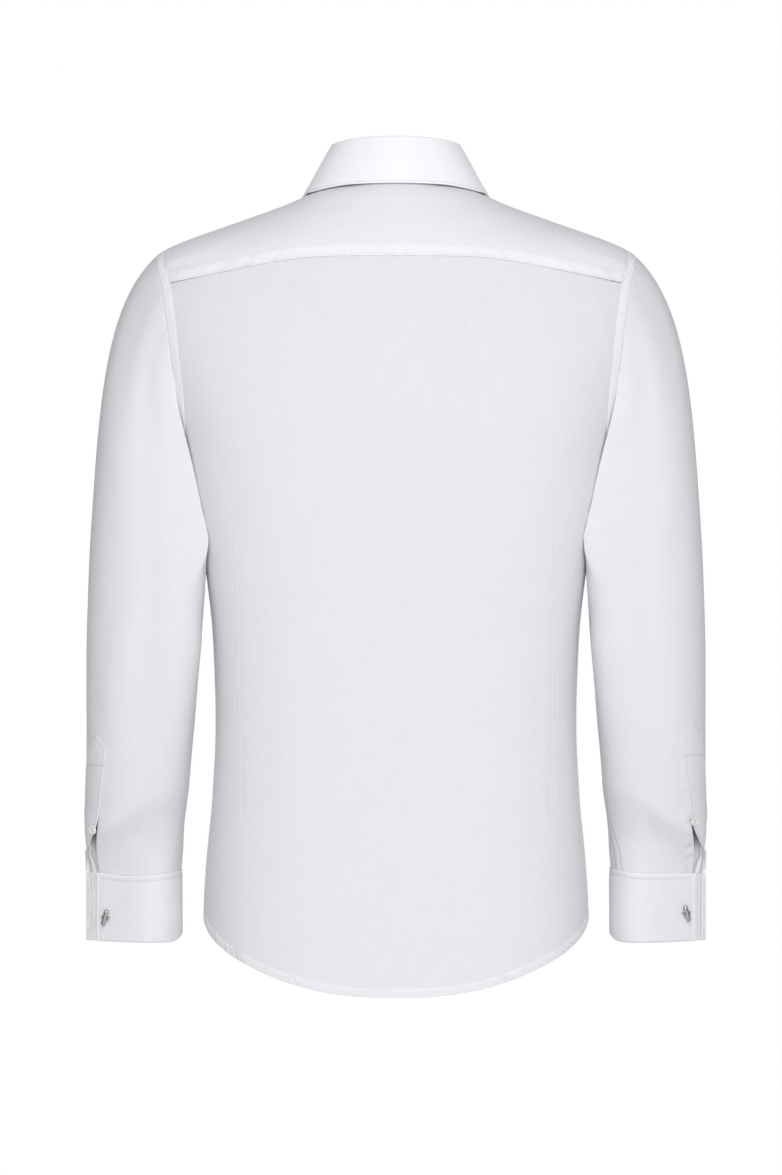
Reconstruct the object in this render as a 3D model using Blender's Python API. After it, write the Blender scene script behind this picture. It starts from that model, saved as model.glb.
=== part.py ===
"""Long sleeve dress shirt, filled out as if worn, with double cuffs and cufflinks.

Frame: +Z up, front towards -Y, the wearer's left towards +X. The origin is the middle of the
neck opening, at the height where the shoulder lines meet the collar. The tables and the named
sizes are in millimetres and degrees; the meshes are in metres.
"""

import math

import bmesh
import bpy
import numpy as np
from mathutils import Matrix, Vector

MM = 0.001

# Cloth
WALL = 1.2  # every cloth wall
SEAM_GAP = 0.3  # between two pieces at a seam
LAP_REACH = 15.0  # each front runs this far past the centre line
LAP_LIFT = 2.0  # the left front stands this far off the right one where they lap
LAP_RAMP = 34.0  # over which the left front rises to that

# Numbers of cells, shared by the pieces that meet at a seam
SEAM_CELLS = 8  # half of the back yoke seam
SHOULDER_CELLS = 6  # armhole edge of the yoke
ARMHOLE_CELLS = 7  # armhole edge of the back, and of a front
SIDE_CELLS = 13  # side seam
NECK_CELLS = 4  # neck edge of a front, from the yoke to the centre line
FRONT_SEAM_CELLS = 5  # front yoke seam
SLEEVE_CELLS = 2 * ARMHOLE_CELLS + SHOULDER_CELLS  # round a sleeve
SLIT_COLUMN = 2  # cells from the top of the shoulder to the sleeve slit, round the back
SLIT_DEGREES = 360 * SLIT_COLUMN / SLEEVE_CELLS

# Collar
FALL_ROLL = 1.7  # outer radius of the roll where the collar turns over
FALL_FRONT_ROLL = 1.2  # added to it at the front, where the fall covers the lapped stand
FALL_FRONT_TURN = 120  # where that starts, in degrees from the centre back
FALL_FRONT_RUN = 40
FALL_ROLL_TURNS = (180, 125, 70, 15)  # points of the roll, from the inside over the top
FALL_START = 1.4  # straight rise above the stand before the roll
FALL_END = 1.5  # from each end of the fall to the centre line
FALL_BOW = 0.8  # how far the turned-down leaf bows out half way
STAND_BOW = 0.8

# Cuffs and sleeve ends
CUFF_TOP = -641.5  # free edge of the turned-back layer
CUFF_FOLD = -706.0  # bottom fold
CUFF_LAYER_GAP = 1.8  # between the two layers of a cuff
CUFF_CELLS = 34
PLAN_STEPS = 200  # of the smooth curve through the cuff's plan
FOLD_RADIUS = 2.0
FOLD_BEVEL = 1.0
FOLD_WALL = 2.2  # height of the cloth at the fold
FOLD_RISE = 6.0  # the fold runs up at the side next to the body
FOLD_RISE_FROM = 224.0  # distance from the middle of the shirt where it starts to

# Buttonholes and cufflinks
FIN_SLANT = 25.0  # the two ends of a cuff meet in a fin that slants this much to the front
FIN_MIDDLE = (274.0, -23.7)  # between its layers, half way along the buttonhole
FIN_HALF = 4.6  # from there to either face
HOLE_LENGTH = 15.0
HOLE_HEIGHT = 3.8
LINK_POST_RADIUS = 1.5
LINK_BAR_LENGTH = 16.5
LINK_BAR_RADIUS = 2.3
LINK_BAR_TILT = -17.0
LINK_FACE_RADIUS = 6.5
LINK_FLANGE_RADIUS = 5.5
LINK_CLEARANCE = 0.35
LINK_PLAY = 1.6  # from the fin to the flange
LINK_FLANGE_THICKNESS = 1.4
LINK_FORK_START = 0.5  # the fork starts this far off the cloth
LINK_FORK_FLOOR = 1.0  # metal under the bar
LINK_FORK_LIP = 0.9  # the fork's arms run this far past the bar's middle
LINK_FORK_WALL = 1.2
LINK_FORK_WIDTH = 3.2
LINK_BAR_TIP = 1.3  # radius of the bar's blunt ends
LINK_BAR_CHAMFER = 0.5
LINK_BAR_TAPER = 2.6  # length of each end
LINK_FACE_THICKNESS = 1.6
LINK_FACE_BEVEL = 1.0
LINK_FACE_DOME = 1.6
LINK_SEGMENTS = 16
LINK_SHARP = 30.0  # edges sharper than this, in degrees, are shaded sharp

# Buttons
FRONT_BUTTON_RADIUS = 5.6
SLEEVE_BUTTON_RADIUS = 4.5
SLEEVE_BUTTON_INWARDS = 0.2  # from the slit line towards the gauntlet's next column
SLEEVE_BUTTON_RISE = 1.2  # its shank holds it off the curved gauntlet
BUTTON_THICKNESS = 2.4
BUTTON_EDGE = 0.7
BUTTON_RIM = 1.9
BUTTON_DISH = 0.6
BUTTON_SEGMENTS = 12
BUTTON_SHARP = 50.0
COLLAR_BUTTON_RISE = 0.2
BUTTON_HEIGHTS = [-118, -203, -288, -373, -458, -543, -628]  # down the front

# Sleeve slits, and the gauntlets, the strips over them
SLIT_OPENING = 0.9  # how far each edge draws back
SLIT_OPENING_RUN = 50.0  # height over which it does
GAUNTLET_WIDTH = 26.0
GAUNTLET_OVERHANG = 2.5  # past the slit line
GAUNTLET_STANDOFF = 0.8  # from the sleeve, whose faces twist a little under it
GAUNTLET_POINT = 11.0  # height of the pointed end
GAUNTLET_ROW_GAP = 3.0  # least height between its first or last row and the next
GAUNTLET_END = 2.2  # from its lower end to the cuff's free edge
GAUNTLET_COLUMNS = (-1, -0.8, 0.1, 1)  # in half widths from its middle, from the free edge
GAUNTLET_WIDENS = -510.0  # below it the stitched edge runs over to a column of the sleeve
GAUNTLET_WIDENS_RUN = 40.0


class Table:
    """Rows of numbers with a name for each column, read smoothly by the first column."""

    def __init__(self, names, rows):
        self.names = names.split()
        ordered = sorted(rows)
        self.values = np.array(ordered, float)

    def read(self, name, at):
        places = self.values[:, 0]
        return smooth_between(places, self.values[:, self.names.index(name)], at)


def smooth_between(places, values, at):
    """Cubic curve through the values that never overshoots them; places rise."""
    steps = np.diff(places)
    slopes = np.diff(values) / steps
    tangents = np.zeros(len(places))
    tangents[0] = slopes[0]
    tangents[-1] = slopes[-1]
    rising = slopes[:-1] * slopes[1:] > 0
    before = np.where(rising, slopes[:-1], 1.0)
    after = np.where(rising, slopes[1:], 1.0)
    weight_before = 2 * steps[1:] + steps[:-1]
    weight_after = steps[1:] + 2 * steps[:-1]
    mean = (weight_before + weight_after) / (weight_before / before + weight_after / after)
    tangents[1:-1] = np.where(rising, mean, 0.0)
    at = np.clip(np.asarray(at, float), places[0], places[-1])
    cell = np.clip(np.searchsorted(places, at) - 1, 0, len(steps) - 1)
    width = steps[cell]
    t = (at - places[cell]) / width
    return (
        values[cell] * (1 + 2 * t) * (1 - t) ** 2
        + values[cell + 1] * t * t * (3 - 2 * t)
        + tangents[cell] * width * t * (1 - t) ** 2
        - tangents[cell + 1] * width * t * t * (1 - t)
    )


# Horizontal sections of the body, which runs on past the armholes as a smooth form
BODY = Table(
    "height half_width front_depth back_depth squareness",
    [
        (30, 55.0, 20, 55.5, 2.0),
        (16, 59.0, 25, 60.5, 2.0),
        (12, 61.0, 27, 63.0, 2.0),
        (8, 63.5, 29, 66.0, 2.0),
        (5, 76.0, 30, 69.0, 2.0),
        (0, 89.0, 32, 73.0, 2.0),
        (-11.5, 120.0, 36, 78.5, 2.0),
        (-18.5, 141.0, 38, 82.5, 2.0),
        (-26.5, 163.0, 41, 86.0, 2.0),
        (-41.5, 205.0, 46, 91.5, 2.05),
        (-53, 227.0, 50, 95.0, 2.1),
        (-66, 239.0, 56, 98.0, 2.15),
        (-81, 244.5, 65, 100.5, 2.2),
        (-95, 246.0, 74, 103.0, 2.3),
        (-123, 240.0, 91, 107.0, 2.45),
        (-160, 228.0, 107, 110.5, 2.65),
        (-190, 216.0, 115, 111.0, 2.85),
        (-232, 202.0, 119, 109.0, 3.1),
        (-285, 191.4, 118, 105.0, 3.2),
        (-356, 181.0, 115, 99.0, 3.1),
        (-418, 173.9, 112, 96.0, 2.85),
        (-494, 171.0, 110, 97.0, 2.7),
        (-570, 174.3, 110, 103.0, 2.7),
        (-627, 179.6, 111, 110.0, 2.7),
        (-665, 181.9, 112.5, 112.5, 2.7),
        (-690, 182.3, 113, 114.5, 2.7),
        (-770, 182.6, 114, 117.0, 2.7),
    ],
)

# Seam lines on the body, as distance from the middle and height seen from the front or back
BACK_YOKE_SEAM = [(0, -60), (45, -60.2), (80, -61.4), (105, -64), (130, -68), (165, -74.5), (219.5, -84)]
BACK_ARMHOLE = [(219.5, -84), (213, -127), (208.5, -164), (204.5, -192), (202, -219), (202, -232)]
BACK_SHOULDER = [(227, -53), (225, -63), (219.5, -84)]
FRONT_SHOULDER = [(227, -53), (225.4, -61), (221, -73)]
FRONT_ARMHOLE = [(221, -73), (205, -115), (196, -145), (193, -170), (194.5, -195), (198.5, -217), (202, -232)]
FRONT_YOKE_SEAM = [(61.5, -15), (100, -23), (160, -43), (221, -73)]
BACK_NECK = [(0, 16), (20, 15.6), (38, 14), (53, 11.5), (63.5, 8)]
SIDE_NECK = [(63.5, 8), (63.8, 0), (61.5, -15)]
FRONT_NECK = [(61.5, -15), (55, -28), (44, -42), (29, -56), (LAP_REACH, -64)]

# Hem, as distance from the middle and height
BACK_HEM = [
    (0, -746.3),
    (39, -745),
    (74, -740),
    (106, -731.5),
    (128, -723),
    (146, -714.7),
    (160, -706.4),
    (173.5, -695),
    (182.6, -681),
]
FRONT_HEM = [
    (LAP_REACH, -738),
    (74, -732.5),
    (106, -725),
    (137, -714),
    (160, -703),
    (174.5, -692),
    (182.6, -681),
]

# Collar stand: its upper edge, round one half from the back to the front. The turn orders rows.
STAND_TOP = Table(
    "turn x y z",
    [
        (0, 0.0, 57.5, 51.8),
        (30, 31.0, 49.5, 51.0),
        (60, 54.5, 29.5, 48.4),
        (90, 62.8, 0.0, 45.4),
        (115, 58.0, -25.0, 30.5),
        (140, 44.0, -45.5, 8.0),
        (165, 19.0, -58.5, -21.0),
        (180, 0.0, -61.5, -36.0),
    ],
)

# Collar fall: its lower edge, from the back to the point at the front
FALL_EDGE = Table(
    "turn x y z",
    [
        (0, 0.0, 71.0, 10.0),
        (30, 41.5, 65.0, 9.2),
        (60, 77.5, 40.0, 4.8),
        (90, 91.6, 2.0, 3.8),
        (115, 91.5, -34.0, -12.0),
        (140, 84.0, -52.0, -42.0),
        (165, 70.0, -66.5, -74.0),
        (180, 58.0, -75.0, -88.0),
    ],
)

# Sleeve rings below the sleeve head
SLEEVE = Table(
    "height inner outer middle_depth half_depth slit_turn",
    [
        (-262, 193.0, 286.0, 2, 57.0, 36),
        (-300, 186.0, 288.6, 3, 58.5, 38),
        (-342, 181.5, 290.9, 5, 58.5, 42),
        (-380, 181.0, 292.2, 6, 57.5, 46),
        (-418, 184.6, 293.4, 5, 56.0, 49),
        (-456, 188.0, 293.9, 1, 54.0, 51),
        (-494, 191.0, 294.2, -5, 52.0, 53),
        (-532, 194.5, 294.8, -12, 49.5, 51),
        (-570, 197.5, 295.4, -20, 47.0, 43),
        (-608, 200.6, 298.5, -29, 44.5, 36),
        (-645, 203.2, 303.0, -38, 42.0, 30),
    ],
)
SLEEVE_FULLNESS = 0.2  # how much squarer a sleeve is at its back, beside the body
SLEEVE_CLEARANCE = 0.6  # between the body and the sleeve where they lie side by side
HEAD_END = -262.0  # height of the first whole ring
HEAD_ROWS = 7
UPPER_ROWS = 9  # from there to the top of the slit
SLIT_ROWS = 8  # from there to SLIT_ROWS_END, where the rows towards the cuff start
SLIT_ROWS_END = -620.0
CUFF_ROWS = [-630.0, -637.0]
SLIT_SHIFT_RUN = 200.0  # height over which a sleeve's own slit shift sets in
SLEEVE_END_TRIM = 1.0  # the sleeve stops short of the cuff's ends
VALLEY_SHARE = 0.35  # where the sleeve leaves the armhole backwards by this, its wall turns with it
OPENING_START = -552.0  # above it the ring is round, and at the cuff it has the cuff's plan
SLIT_HOLD = 42.0  # the gauntlet's button keeps the slit's edges together this much further down
SLIT_HOLD_REACH = 0.15  # as a share of the way round the sleeve

# How a sleeve leaves the armhole: outward share of its first direction, and the push along
# the body's normal, by the turn round the armhole from the underarm (0) to the shoulder (180)
SLEEVE_HEAD = Table(
    "turn outward lift first_pull last_pull",
    [
        (0, 0.00, 0.00, 0.9, 0.9),
        (36, 0.05, 0.10, 0.9, 0.9),
        (72, 0.35, 0.22, 0.9, 1.0),
        (108, 0.80, 0.22, 0.8, 1.1),
        (144, 2.00, 0.35, 0.75, 1.30),
        (180, 1.90, 0.40, 0.75, 1.45),
    ],
)

# Round a sleeve beside its gauntlet
SLEEVE_GIRTH = Table(
    "height girth",
    [
        (-500, 318),
        (-560, 286),
        (-620, 254),
    ],
)

# Plan of a cuff, at its outermost face: from the back end of the fin round the wrist to its front end
CUFF_PLAN = [
    (285.8, -24),
    (275, -18.6),
    (263, -12.6),
    (250, -6.5),
    (236, -2.5),
    (221, -6),
    (208.5, -20),
    (204.9, -42),
    (209, -62),
    (222, -77),
    (240, -81),
    (253, -74),
    (259, -59),
    (259.5, -41),
    (261.5, -28.5),
    (268, -26),
    (282, -32.2),
    (295.4, -38.5),
]

# Sleeve rows near the cuff: height and how far the wall lies inside the cuff's outermost face
SLEEVE_END = Table(
    "height inset",
    [
        (CUFF_TOP + SEAM_GAP, 3.0),
        (-637.0, 1.2),
        (-630.0, -0.3),
        (-618.0, -0.6),
        (-600.0, 0.0),
    ],
)

# Soft troughs (negative) and ridges of the body and of a sleeve. Turn is from the back centre
# on the body and from the outer side on a sleeve; slant is turn gained per millimetre of fall.
CREASE_COLUMNS = "turn height length width depth slant"
CREASE_SPREAD = 0.5  # a crease's half width, in its own width, where it has faded to a third
BODY_PER_DEGREE = 1.9  # millimetres of cloth to a degree of turn
SLEEVE_PER_DEGREE = 1.0
BODY_CREASES = [
    (74, -275, 150, 34, -0.5, -0.10),
    (104, -270, 130, 36, -1.6, 0.11),
    (72, -470, 190, 40, -1.2, 0.05),
    (108, -505, 180, 42, -1.3, -0.05),
    (150, -165, 150, 60, 1.5, 0.05),
]
SLEEVE_CREASES = [
    (155, -395, 70, 30, -2.2, 0.25),
    (205, -415, 75, 28, -2.2, -0.22),
    (120, -300, 110, 36, -1.4, 0.10),
    (238, -292, 120, 36, -1.5, -0.12),
    (250, -560, 90, 26, -1.2, 0.06),
]

SIDES = {
    "left": {"sign": 1, "slit_shift": 0.0, "slit_top": -540.0, "tip": -508.0, "link": -683.0, "button": -597.0},
    "right": {"sign": -1, "slit_shift": 4.0, "slit_top": -530.0, "tip": -495.5, "link": -679.0, "button": -590.0},
}


# ---------------------------------------------------------------- forms


def body_point(turn, height):
    """Point of the body form; turn is in radians from the back centre towards +X."""
    half_width = BODY.read("half_width", height)
    front = BODY.read("front_depth", height)
    back = BODY.read("back_depth", height)
    power = BODY.read("squareness", height)
    sine = np.sin(turn)
    cosine = np.cos(turn)
    depth = np.where(cosine > 0, back, front)
    reach = (np.abs(sine) ** power + np.abs(cosine) ** power) ** (1 / power)
    return np.stack([half_width * sine / reach, depth * cosine / reach, height + 0 * turn], axis=-1)


def body_normal(turn, height):
    along = body_point(turn + 0.01, height) - body_point(turn - 0.01, height)
    down = body_point(turn, height - 0.4) - body_point(turn, height + 0.4)
    return unit(np.cross(along, down))


def body_turn(across, height, front):
    """Turn, in radians, of the point this far from the middle at this height."""
    power = BODY.read("squareness", height)
    share = np.clip(np.abs(across) / BODY.read("half_width", height), 0, 1)
    rest = (1 - share**power) ** (1 / power)
    return np.arctan2(share, -rest if front else rest)


def unit(vectors):
    return vectors / np.maximum(np.linalg.norm(vectors, axis=-1, keepdims=True), 1e-9)


def ease(value):
    value = np.clip(value, 0, 1)
    return value * value * (3 - 2 * value)


def crease_relief(creases, per_degree, turn, height):
    """Sum of the creases' soft troughs and ridges, in millimetres, at a turn in radians."""
    relief = np.zeros(np.broadcast(turn, height).shape)
    names = CREASE_COLUMNS.split()
    for row in creases:
        crease = dict(zip(names, row))
        fall = crease["height"] - height
        across = (np.degrees(turn) - crease["turn"] - crease["slant"] * fall) * per_degree
        along = np.exp(-((fall / (CREASE_SPREAD * crease["length"])) ** 2))
        relief += crease["depth"] * along * np.exp(-((across / (CREASE_SPREAD * crease["width"])) ** 2))
    return relief


def even_points(points, count, fold=None):
    """Points spread evenly along the smooth curve through some points; fold maps them to space."""
    points = np.array(points, float)
    chords = np.linalg.norm(np.diff(points, axis=0), axis=1)
    places = np.concatenate([[0], np.cumsum(chords)])
    dense = np.linspace(0, places[-1], 40 * len(points))
    tangents = np.gradient(points, places, axis=0)
    cell = np.clip(np.searchsorted(places, dense) - 1, 0, len(chords) - 1)
    width = chords[cell][:, None]
    t = (dense - places[cell])[:, None] / width
    curve = (
        points[cell] * (1 + 2 * t) * (1 - t) ** 2
        + points[cell + 1] * t * t * (3 - 2 * t)
        + tangents[cell] * width * t * (1 - t) ** 2
        - tangents[cell + 1] * width * t * t * (1 - t)
    )
    space = curve if fold is None else fold(curve)
    length = np.concatenate([[0], np.cumsum(np.linalg.norm(np.diff(space, axis=0), axis=1))])
    wanted = np.linspace(0, length[-1], count + 1)
    return np.stack([np.interp(wanted, length, curve[:, axis]) for axis in range(points.shape[1])], axis=-1)


def seam_turns(points, count, front):
    """A seam line of the body as evenly spread (turn, height) pairs."""

    def fold(curve):
        return body_point(body_turn(curve[:, 0], curve[:, 1], front), curve[:, 1])

    line = even_points(points, count, fold)
    return np.stack([body_turn(line[:, 0], line[:, 1], front), line[:, 1]], axis=-1)


def fill_patch(top, bottom, left, right):
    """Grid of (turn, height) between four edges; rows run from top to bottom, columns left to right."""
    down = np.linspace(0, 1, len(left))[:, None, None]
    across = np.linspace(0, 1, len(top))[None, :, None]
    ruled = (1 - down) * top[None] + down * bottom[None]
    sides = (1 - across) * left[:, None] + across * right[:, None]
    corners = (1 - down) * ((1 - across) * top[0] + across * top[-1])
    corners = corners + down * ((1 - across) * bottom[0] + across * bottom[-1])
    return ruled + sides - corners


def pull_in(grid, gap=SEAM_GAP / 2, top=True, bottom=True, left=True, right=True):
    """Moves the edges of a grid of points inwards by half of a seam's gap."""
    moved = grid.copy()
    if top:
        moved[0] += gap * unit(grid[1] - grid[0])
    if bottom:
        moved[-1] += gap * unit(grid[-2] - grid[-1])
    if left:
        moved[:, 0] += gap * unit(grid[:, 1] - grid[:, 0])
    if right:
        moved[:, -1] += gap * unit(grid[:, -2] - grid[:, -1])
    return moved


def grid_normals(grid, closed_rows=0):
    """Normals of a grid whose rows run down and whose columns run round; the first rows are closed."""
    around = np.gradient(grid, axis=1)
    if closed_rows:
        wrapped = 0.5 * (grid[:closed_rows, 1] - grid[:closed_rows, -2])
        around[:closed_rows, 0] = wrapped
        around[:closed_rows, -1] = wrapped
    down = np.gradient(grid, axis=0)
    return unit(np.cross(down, around))


# ---------------------------------------------------------------- making objects


def make_material(name, color, roughness, metallic=0.0):
    material = bpy.data.materials.new(name)
    material.use_nodes = True
    shader = material.node_tree.nodes["Principled BSDF"]
    shader.inputs["Base Color"].default_value = (*color, 1.0)
    shader.inputs["Roughness"].default_value = roughness
    shader.inputs["Metallic"].default_value = metallic
    return material


def finish_mesh(name, bm, material, sharp_degrees=40.0):
    """Turns a bmesh in millimetres into a named object in metres with its faces pointing out."""
    bmesh.ops.scale(bm, vec=(MM, MM, MM), verts=bm.verts)
    bmesh.ops.recalc_face_normals(bm, faces=bm.faces)
    mesh = bpy.data.meshes.new(name)
    bm.to_mesh(mesh)
    bm.free()
    mesh.materials.append(material)
    mesh.shade_smooth()
    mesh.set_sharp_from_angle(angle=math.radians(sharp_degrees))
    part = bpy.data.objects.new(name, mesh)
    bpy.context.scene.collection.objects.link(part)
    return part


def splits_from_first(a, b, c, d):
    """Whether a four-cornered cell is split from its first corner: the shorter way is taken."""
    return np.linalg.norm(a - c) < np.linalg.norm(b - d)


def make_cloth(name, outer, inner, material, closed_rows=0):
    """Closed wall between an outer and an inner grid of points, split the same way on both."""
    rows, columns = outer.shape[:2]
    points = outer.reshape(-1, 3)
    ids = np.arange(rows * columns).reshape(rows, columns)
    ids[:closed_rows, -1] = ids[:closed_rows, 0]
    triangles = []
    for row in range(rows - 1):
        for column in range(columns - 1):
            a = ids[row, column]
            b = ids[row, column + 1]
            c = ids[row + 1, column + 1]
            d = ids[row + 1, column]
            if splits_from_first(*(points[corner] for corner in (a, b, c, d))):
                triangles += [(a, b, c), (a, c, d)]
            else:
                triangles += [(a, b, d), (b, c, d)]
    edges = {}
    for first, second, third in triangles:
        for edge in ((first, second), (second, third), (third, first)):
            edges[edge] = edges.get(edge, 0) + 1
    rim = [edge for edge in edges if (edge[1], edge[0]) not in edges]
    shift = rows * columns
    bm = bmesh.new()
    flat = np.concatenate([outer.reshape(-1, 3), inner.reshape(-1, 3)])
    used = sorted({corner for triangle in triangles for corner in triangle})
    vertices = {}
    for corner in used:
        vertices[corner] = bm.verts.new(flat[corner])
        vertices[corner + shift] = bm.verts.new(flat[corner + shift])
    for first, second, third in triangles:
        bm.faces.new((vertices[first], vertices[second], vertices[third]))
        bm.faces.new((vertices[third + shift], vertices[second + shift], vertices[first + shift]))
    for first, second in rim:
        bm.faces.new((vertices[second], vertices[first], vertices[first + shift]))
        bm.faces.new((vertices[second], vertices[first + shift], vertices[second + shift]))
    return finish_mesh(name, bm, material)


def make_turned(bm, profile, segments, placement):
    """Adds a body turned round the local Z axis; the profile is (radius, height) from axis to axis."""
    rings = []
    for radius, height in profile:
        if radius == 0:
            rings.append([bm.verts.new(placement @ Vector((0, 0, height)))])
            continue
        ring = []
        for step in range(segments):
            turn = 2 * math.pi * step / segments
            local = Vector((radius * math.cos(turn), radius * math.sin(turn), height))
            ring.append(bm.verts.new(placement @ local))
        rings.append(ring)
    for lower, upper in zip(rings, rings[1:]):
        for step in range(segments):
            after = (step + 1) % segments
            corners = [lower[step % len(lower)], lower[after % len(lower)]]
            corners += [upper[after % len(upper)], upper[step % len(upper)]]
            bm.faces.new(list(dict.fromkeys(corners)))


def make_block(bm, size, placement):
    """Adds a box of this size, in the placement's own axes."""
    bmesh.ops.create_cube(bm, size=1.0, matrix=placement @ Matrix.Diagonal((*size, 1.0)))


def placed(origin, normal, upright=(0, 0, 1)):
    """Matrix whose Z axis is the normal and whose Y axis is as near upright as it can be."""
    z_axis = Vector(normal).normalized()
    x_axis = Vector(upright).cross(z_axis).normalized()
    y_axis = z_axis.cross(x_axis)
    rotation = Matrix((x_axis, y_axis, z_axis)).transposed().to_4x4()
    return Matrix.Translation(Vector(origin)) @ rotation


# ---------------------------------------------------------------- body panels


def lap_lift(across):
    """How far the left front stands off, by its distance towards the wearer's left."""
    return LAP_LIFT * ease((LAP_REACH + LAP_RAMP - across) / LAP_RAMP)


def body_grid(turns, heights):
    points = body_point(turns, heights)
    normals = body_normal(turns, heights)
    relief = crease_relief(BODY_CREASES, BODY_PER_DEGREE, np.abs(turns), heights)
    points = points + normals * relief[..., None]
    return points, normals


def yoke_outline():
    """Outer edge of one half of the yoke, from the centre back to the front armhole corner."""
    seam = seam_turns(BACK_YOKE_SEAM, SEAM_CELLS, False)
    back = seam_turns(BACK_SHOULDER, SHOULDER_CELLS // 2, False)[::-1]
    front = seam_turns(FRONT_SHOULDER, SHOULDER_CELLS // 2, True)
    return np.concatenate([seam, back[1:], front[1:]])


def neck_half():
    """Neck edge of the yoke from the centre back to the front yoke seam."""
    back = seam_turns(BACK_NECK, SEAM_CELLS + 2, False)
    side = seam_turns(SIDE_NECK, SHOULDER_CELLS - 2, True)
    return np.concatenate([back, side[1:]])


def mirrored(line):
    """The same (turn, height) line on the other side of the body."""
    return line * np.array([-1, 1])


def both_halves(line):
    """A line from the centre back, joined to its mirror image, running from -X to +X."""
    return np.concatenate([mirrored(line)[:0:-1], line])


def make_yoke(material):
    outline = both_halves(yoke_outline())
    neck = both_halves(neck_half())
    front_seam = seam_turns(FRONT_YOKE_SEAM, FRONT_SEAM_CELLS, True)
    patch = fill_patch(neck, outline, mirrored(front_seam), front_seam)
    points, normals = body_grid(patch[..., 0], patch[..., 1])
    outer = pull_in(points)
    make_cloth("yoke", outer, outer - normals * WALL, material)


def side_heights():
    """Heights of the side seam's points, from the underarm to the hem."""
    return np.linspace(BACK_ARMHOLE[-1][1], BACK_HEM[-1][1], SIDE_CELLS + 1)


def side_line(armhole, front):
    """Armhole edge and side seam of one panel on the wearer's left."""
    upper = seam_turns(armhole, ARMHOLE_CELLS, front)
    lower = np.stack([np.full(SIDE_CELLS + 1, math.pi / 2), side_heights()], axis=-1)
    return np.concatenate([upper[:-1], lower])


def make_back(material):
    top = both_halves(seam_turns(BACK_YOKE_SEAM, SEAM_CELLS, False))
    bottom = both_halves(seam_turns(BACK_HEM, SEAM_CELLS, False))
    right = side_line(BACK_ARMHOLE, False)
    patch = fill_patch(top, bottom, mirrored(right), right)
    points, normals = body_grid(patch[..., 0], patch[..., 1])
    outer = pull_in(points, bottom=False)
    make_cloth("back", outer, outer - normals * WALL, material)


def lap_points(height):
    """The (turn, height) pairs of a lap at one height: its far edge, the centre, its near edge."""
    far = body_turn(LAP_REACH, height, True)
    return np.array([[far, height], [math.pi, height], [2 * math.pi - far, height]])


def front_neck_line():
    """Neck edge of a front, from the yoke seam past the centre line to the front's edge."""
    line = seam_turns(FRONT_NECK, NECK_CELLS, True)
    return np.concatenate([line, lap_points(FRONT_NECK[-1][1])[1:]])


def front_patch():
    """Grid of one front, from its side line to its edge past the centre line."""
    seam = seam_turns(FRONT_YOKE_SEAM, FRONT_SEAM_CELLS, True)[::-1]
    top = np.concatenate([seam, front_neck_line()[1:]])
    hem = seam_turns(FRONT_HEM, len(top) - 3, True)[::-1]
    bottom = np.concatenate([hem, lap_points(FRONT_HEM[0][1])[1:]])
    side = side_line(FRONT_ARMHOLE, True)
    edge_heights = np.linspace(top[-1][1], bottom[-1][1], len(side))
    edge_turns = 2 * math.pi - body_turn(LAP_REACH, edge_heights, True)
    return fill_patch(top, bottom, side, np.stack([edge_turns, edge_heights], axis=-1))


def front_grid(lapped):
    """Points and normals of the wearer's left front; the lapped one lies over the other."""
    patch = front_patch()
    points, normals = body_grid(patch[..., 0], patch[..., 1])
    if lapped:
        points = points + normals * lap_lift(points[..., 0])[..., None]
    return points, normals


def make_front(side, material):
    points, normals = front_grid(side["sign"] > 0)
    outer = pull_in(points, bottom=False, right=False)
    flip = np.array([side["sign"], 1, 1])
    name = "front_left" if side["sign"] > 0 else "front_right"
    make_cloth(name, outer * flip, (outer - normals * WALL) * flip, material)


# ---------------------------------------------------------------- collar


def stand_half(lapped):
    """Lower and upper edge of one half of the stand's outer face, from the centre back round

    to its end past the centre front, as on the wearer's left; also its turns in plan.
    """
    line = np.concatenate([neck_half(), front_neck_line()[1:]])
    lower = body_point(line[:, 0], line[:, 1])
    turns = np.degrees(np.arctan2(lower[:, 0], lower[:, 1])) % 360
    mirrored_turns = np.minimum(turns, 360 - turns)
    upper = np.stack([STAND_TOP.read(axis, mirrored_turns) for axis in "xyz"], axis=-1)
    upper[:, 0] *= np.where(turns > 180, -1, 1)
    if lapped:
        lift = (lap_lift(lower[:, 0]) * (lower[:, 1] < 0))[:, None]
        outward = unit(lower * np.array([1, 1, 0]))
        lower = lower + body_normal(line[:, 0], line[:, 1]) * lift
        upper = upper + outward * lift
    return lower, upper, turns


def whole_round(right, left):
    """Joins two halves that were both worked out for the wearer's left; columns run to the left."""
    mirrored_half = right * np.array([-1, 1, 1])
    return np.concatenate([mirrored_half[..., :0:-1, :], left], axis=-2)


def make_stand(material):
    right_lower, right_upper, _ = stand_half(False)
    left_lower, left_upper, _ = stand_half(True)
    lower = whole_round(right_lower, left_lower)
    upper = whole_round(right_upper, left_upper)
    outward = unit((upper + lower) * np.array([1, 1, 0]))
    middle = 0.5 * (lower + upper) + STAND_BOW * outward
    grid = np.stack([lower, middle, upper])
    grid[0] += SEAM_GAP * unit(upper - lower)
    normals = grid_normals(grid)
    normals[-1] = unit(normals[-1] * np.array([1, 1, 0]))
    make_cloth("collar_stand", grid, grid - normals * WALL, material)


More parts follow.
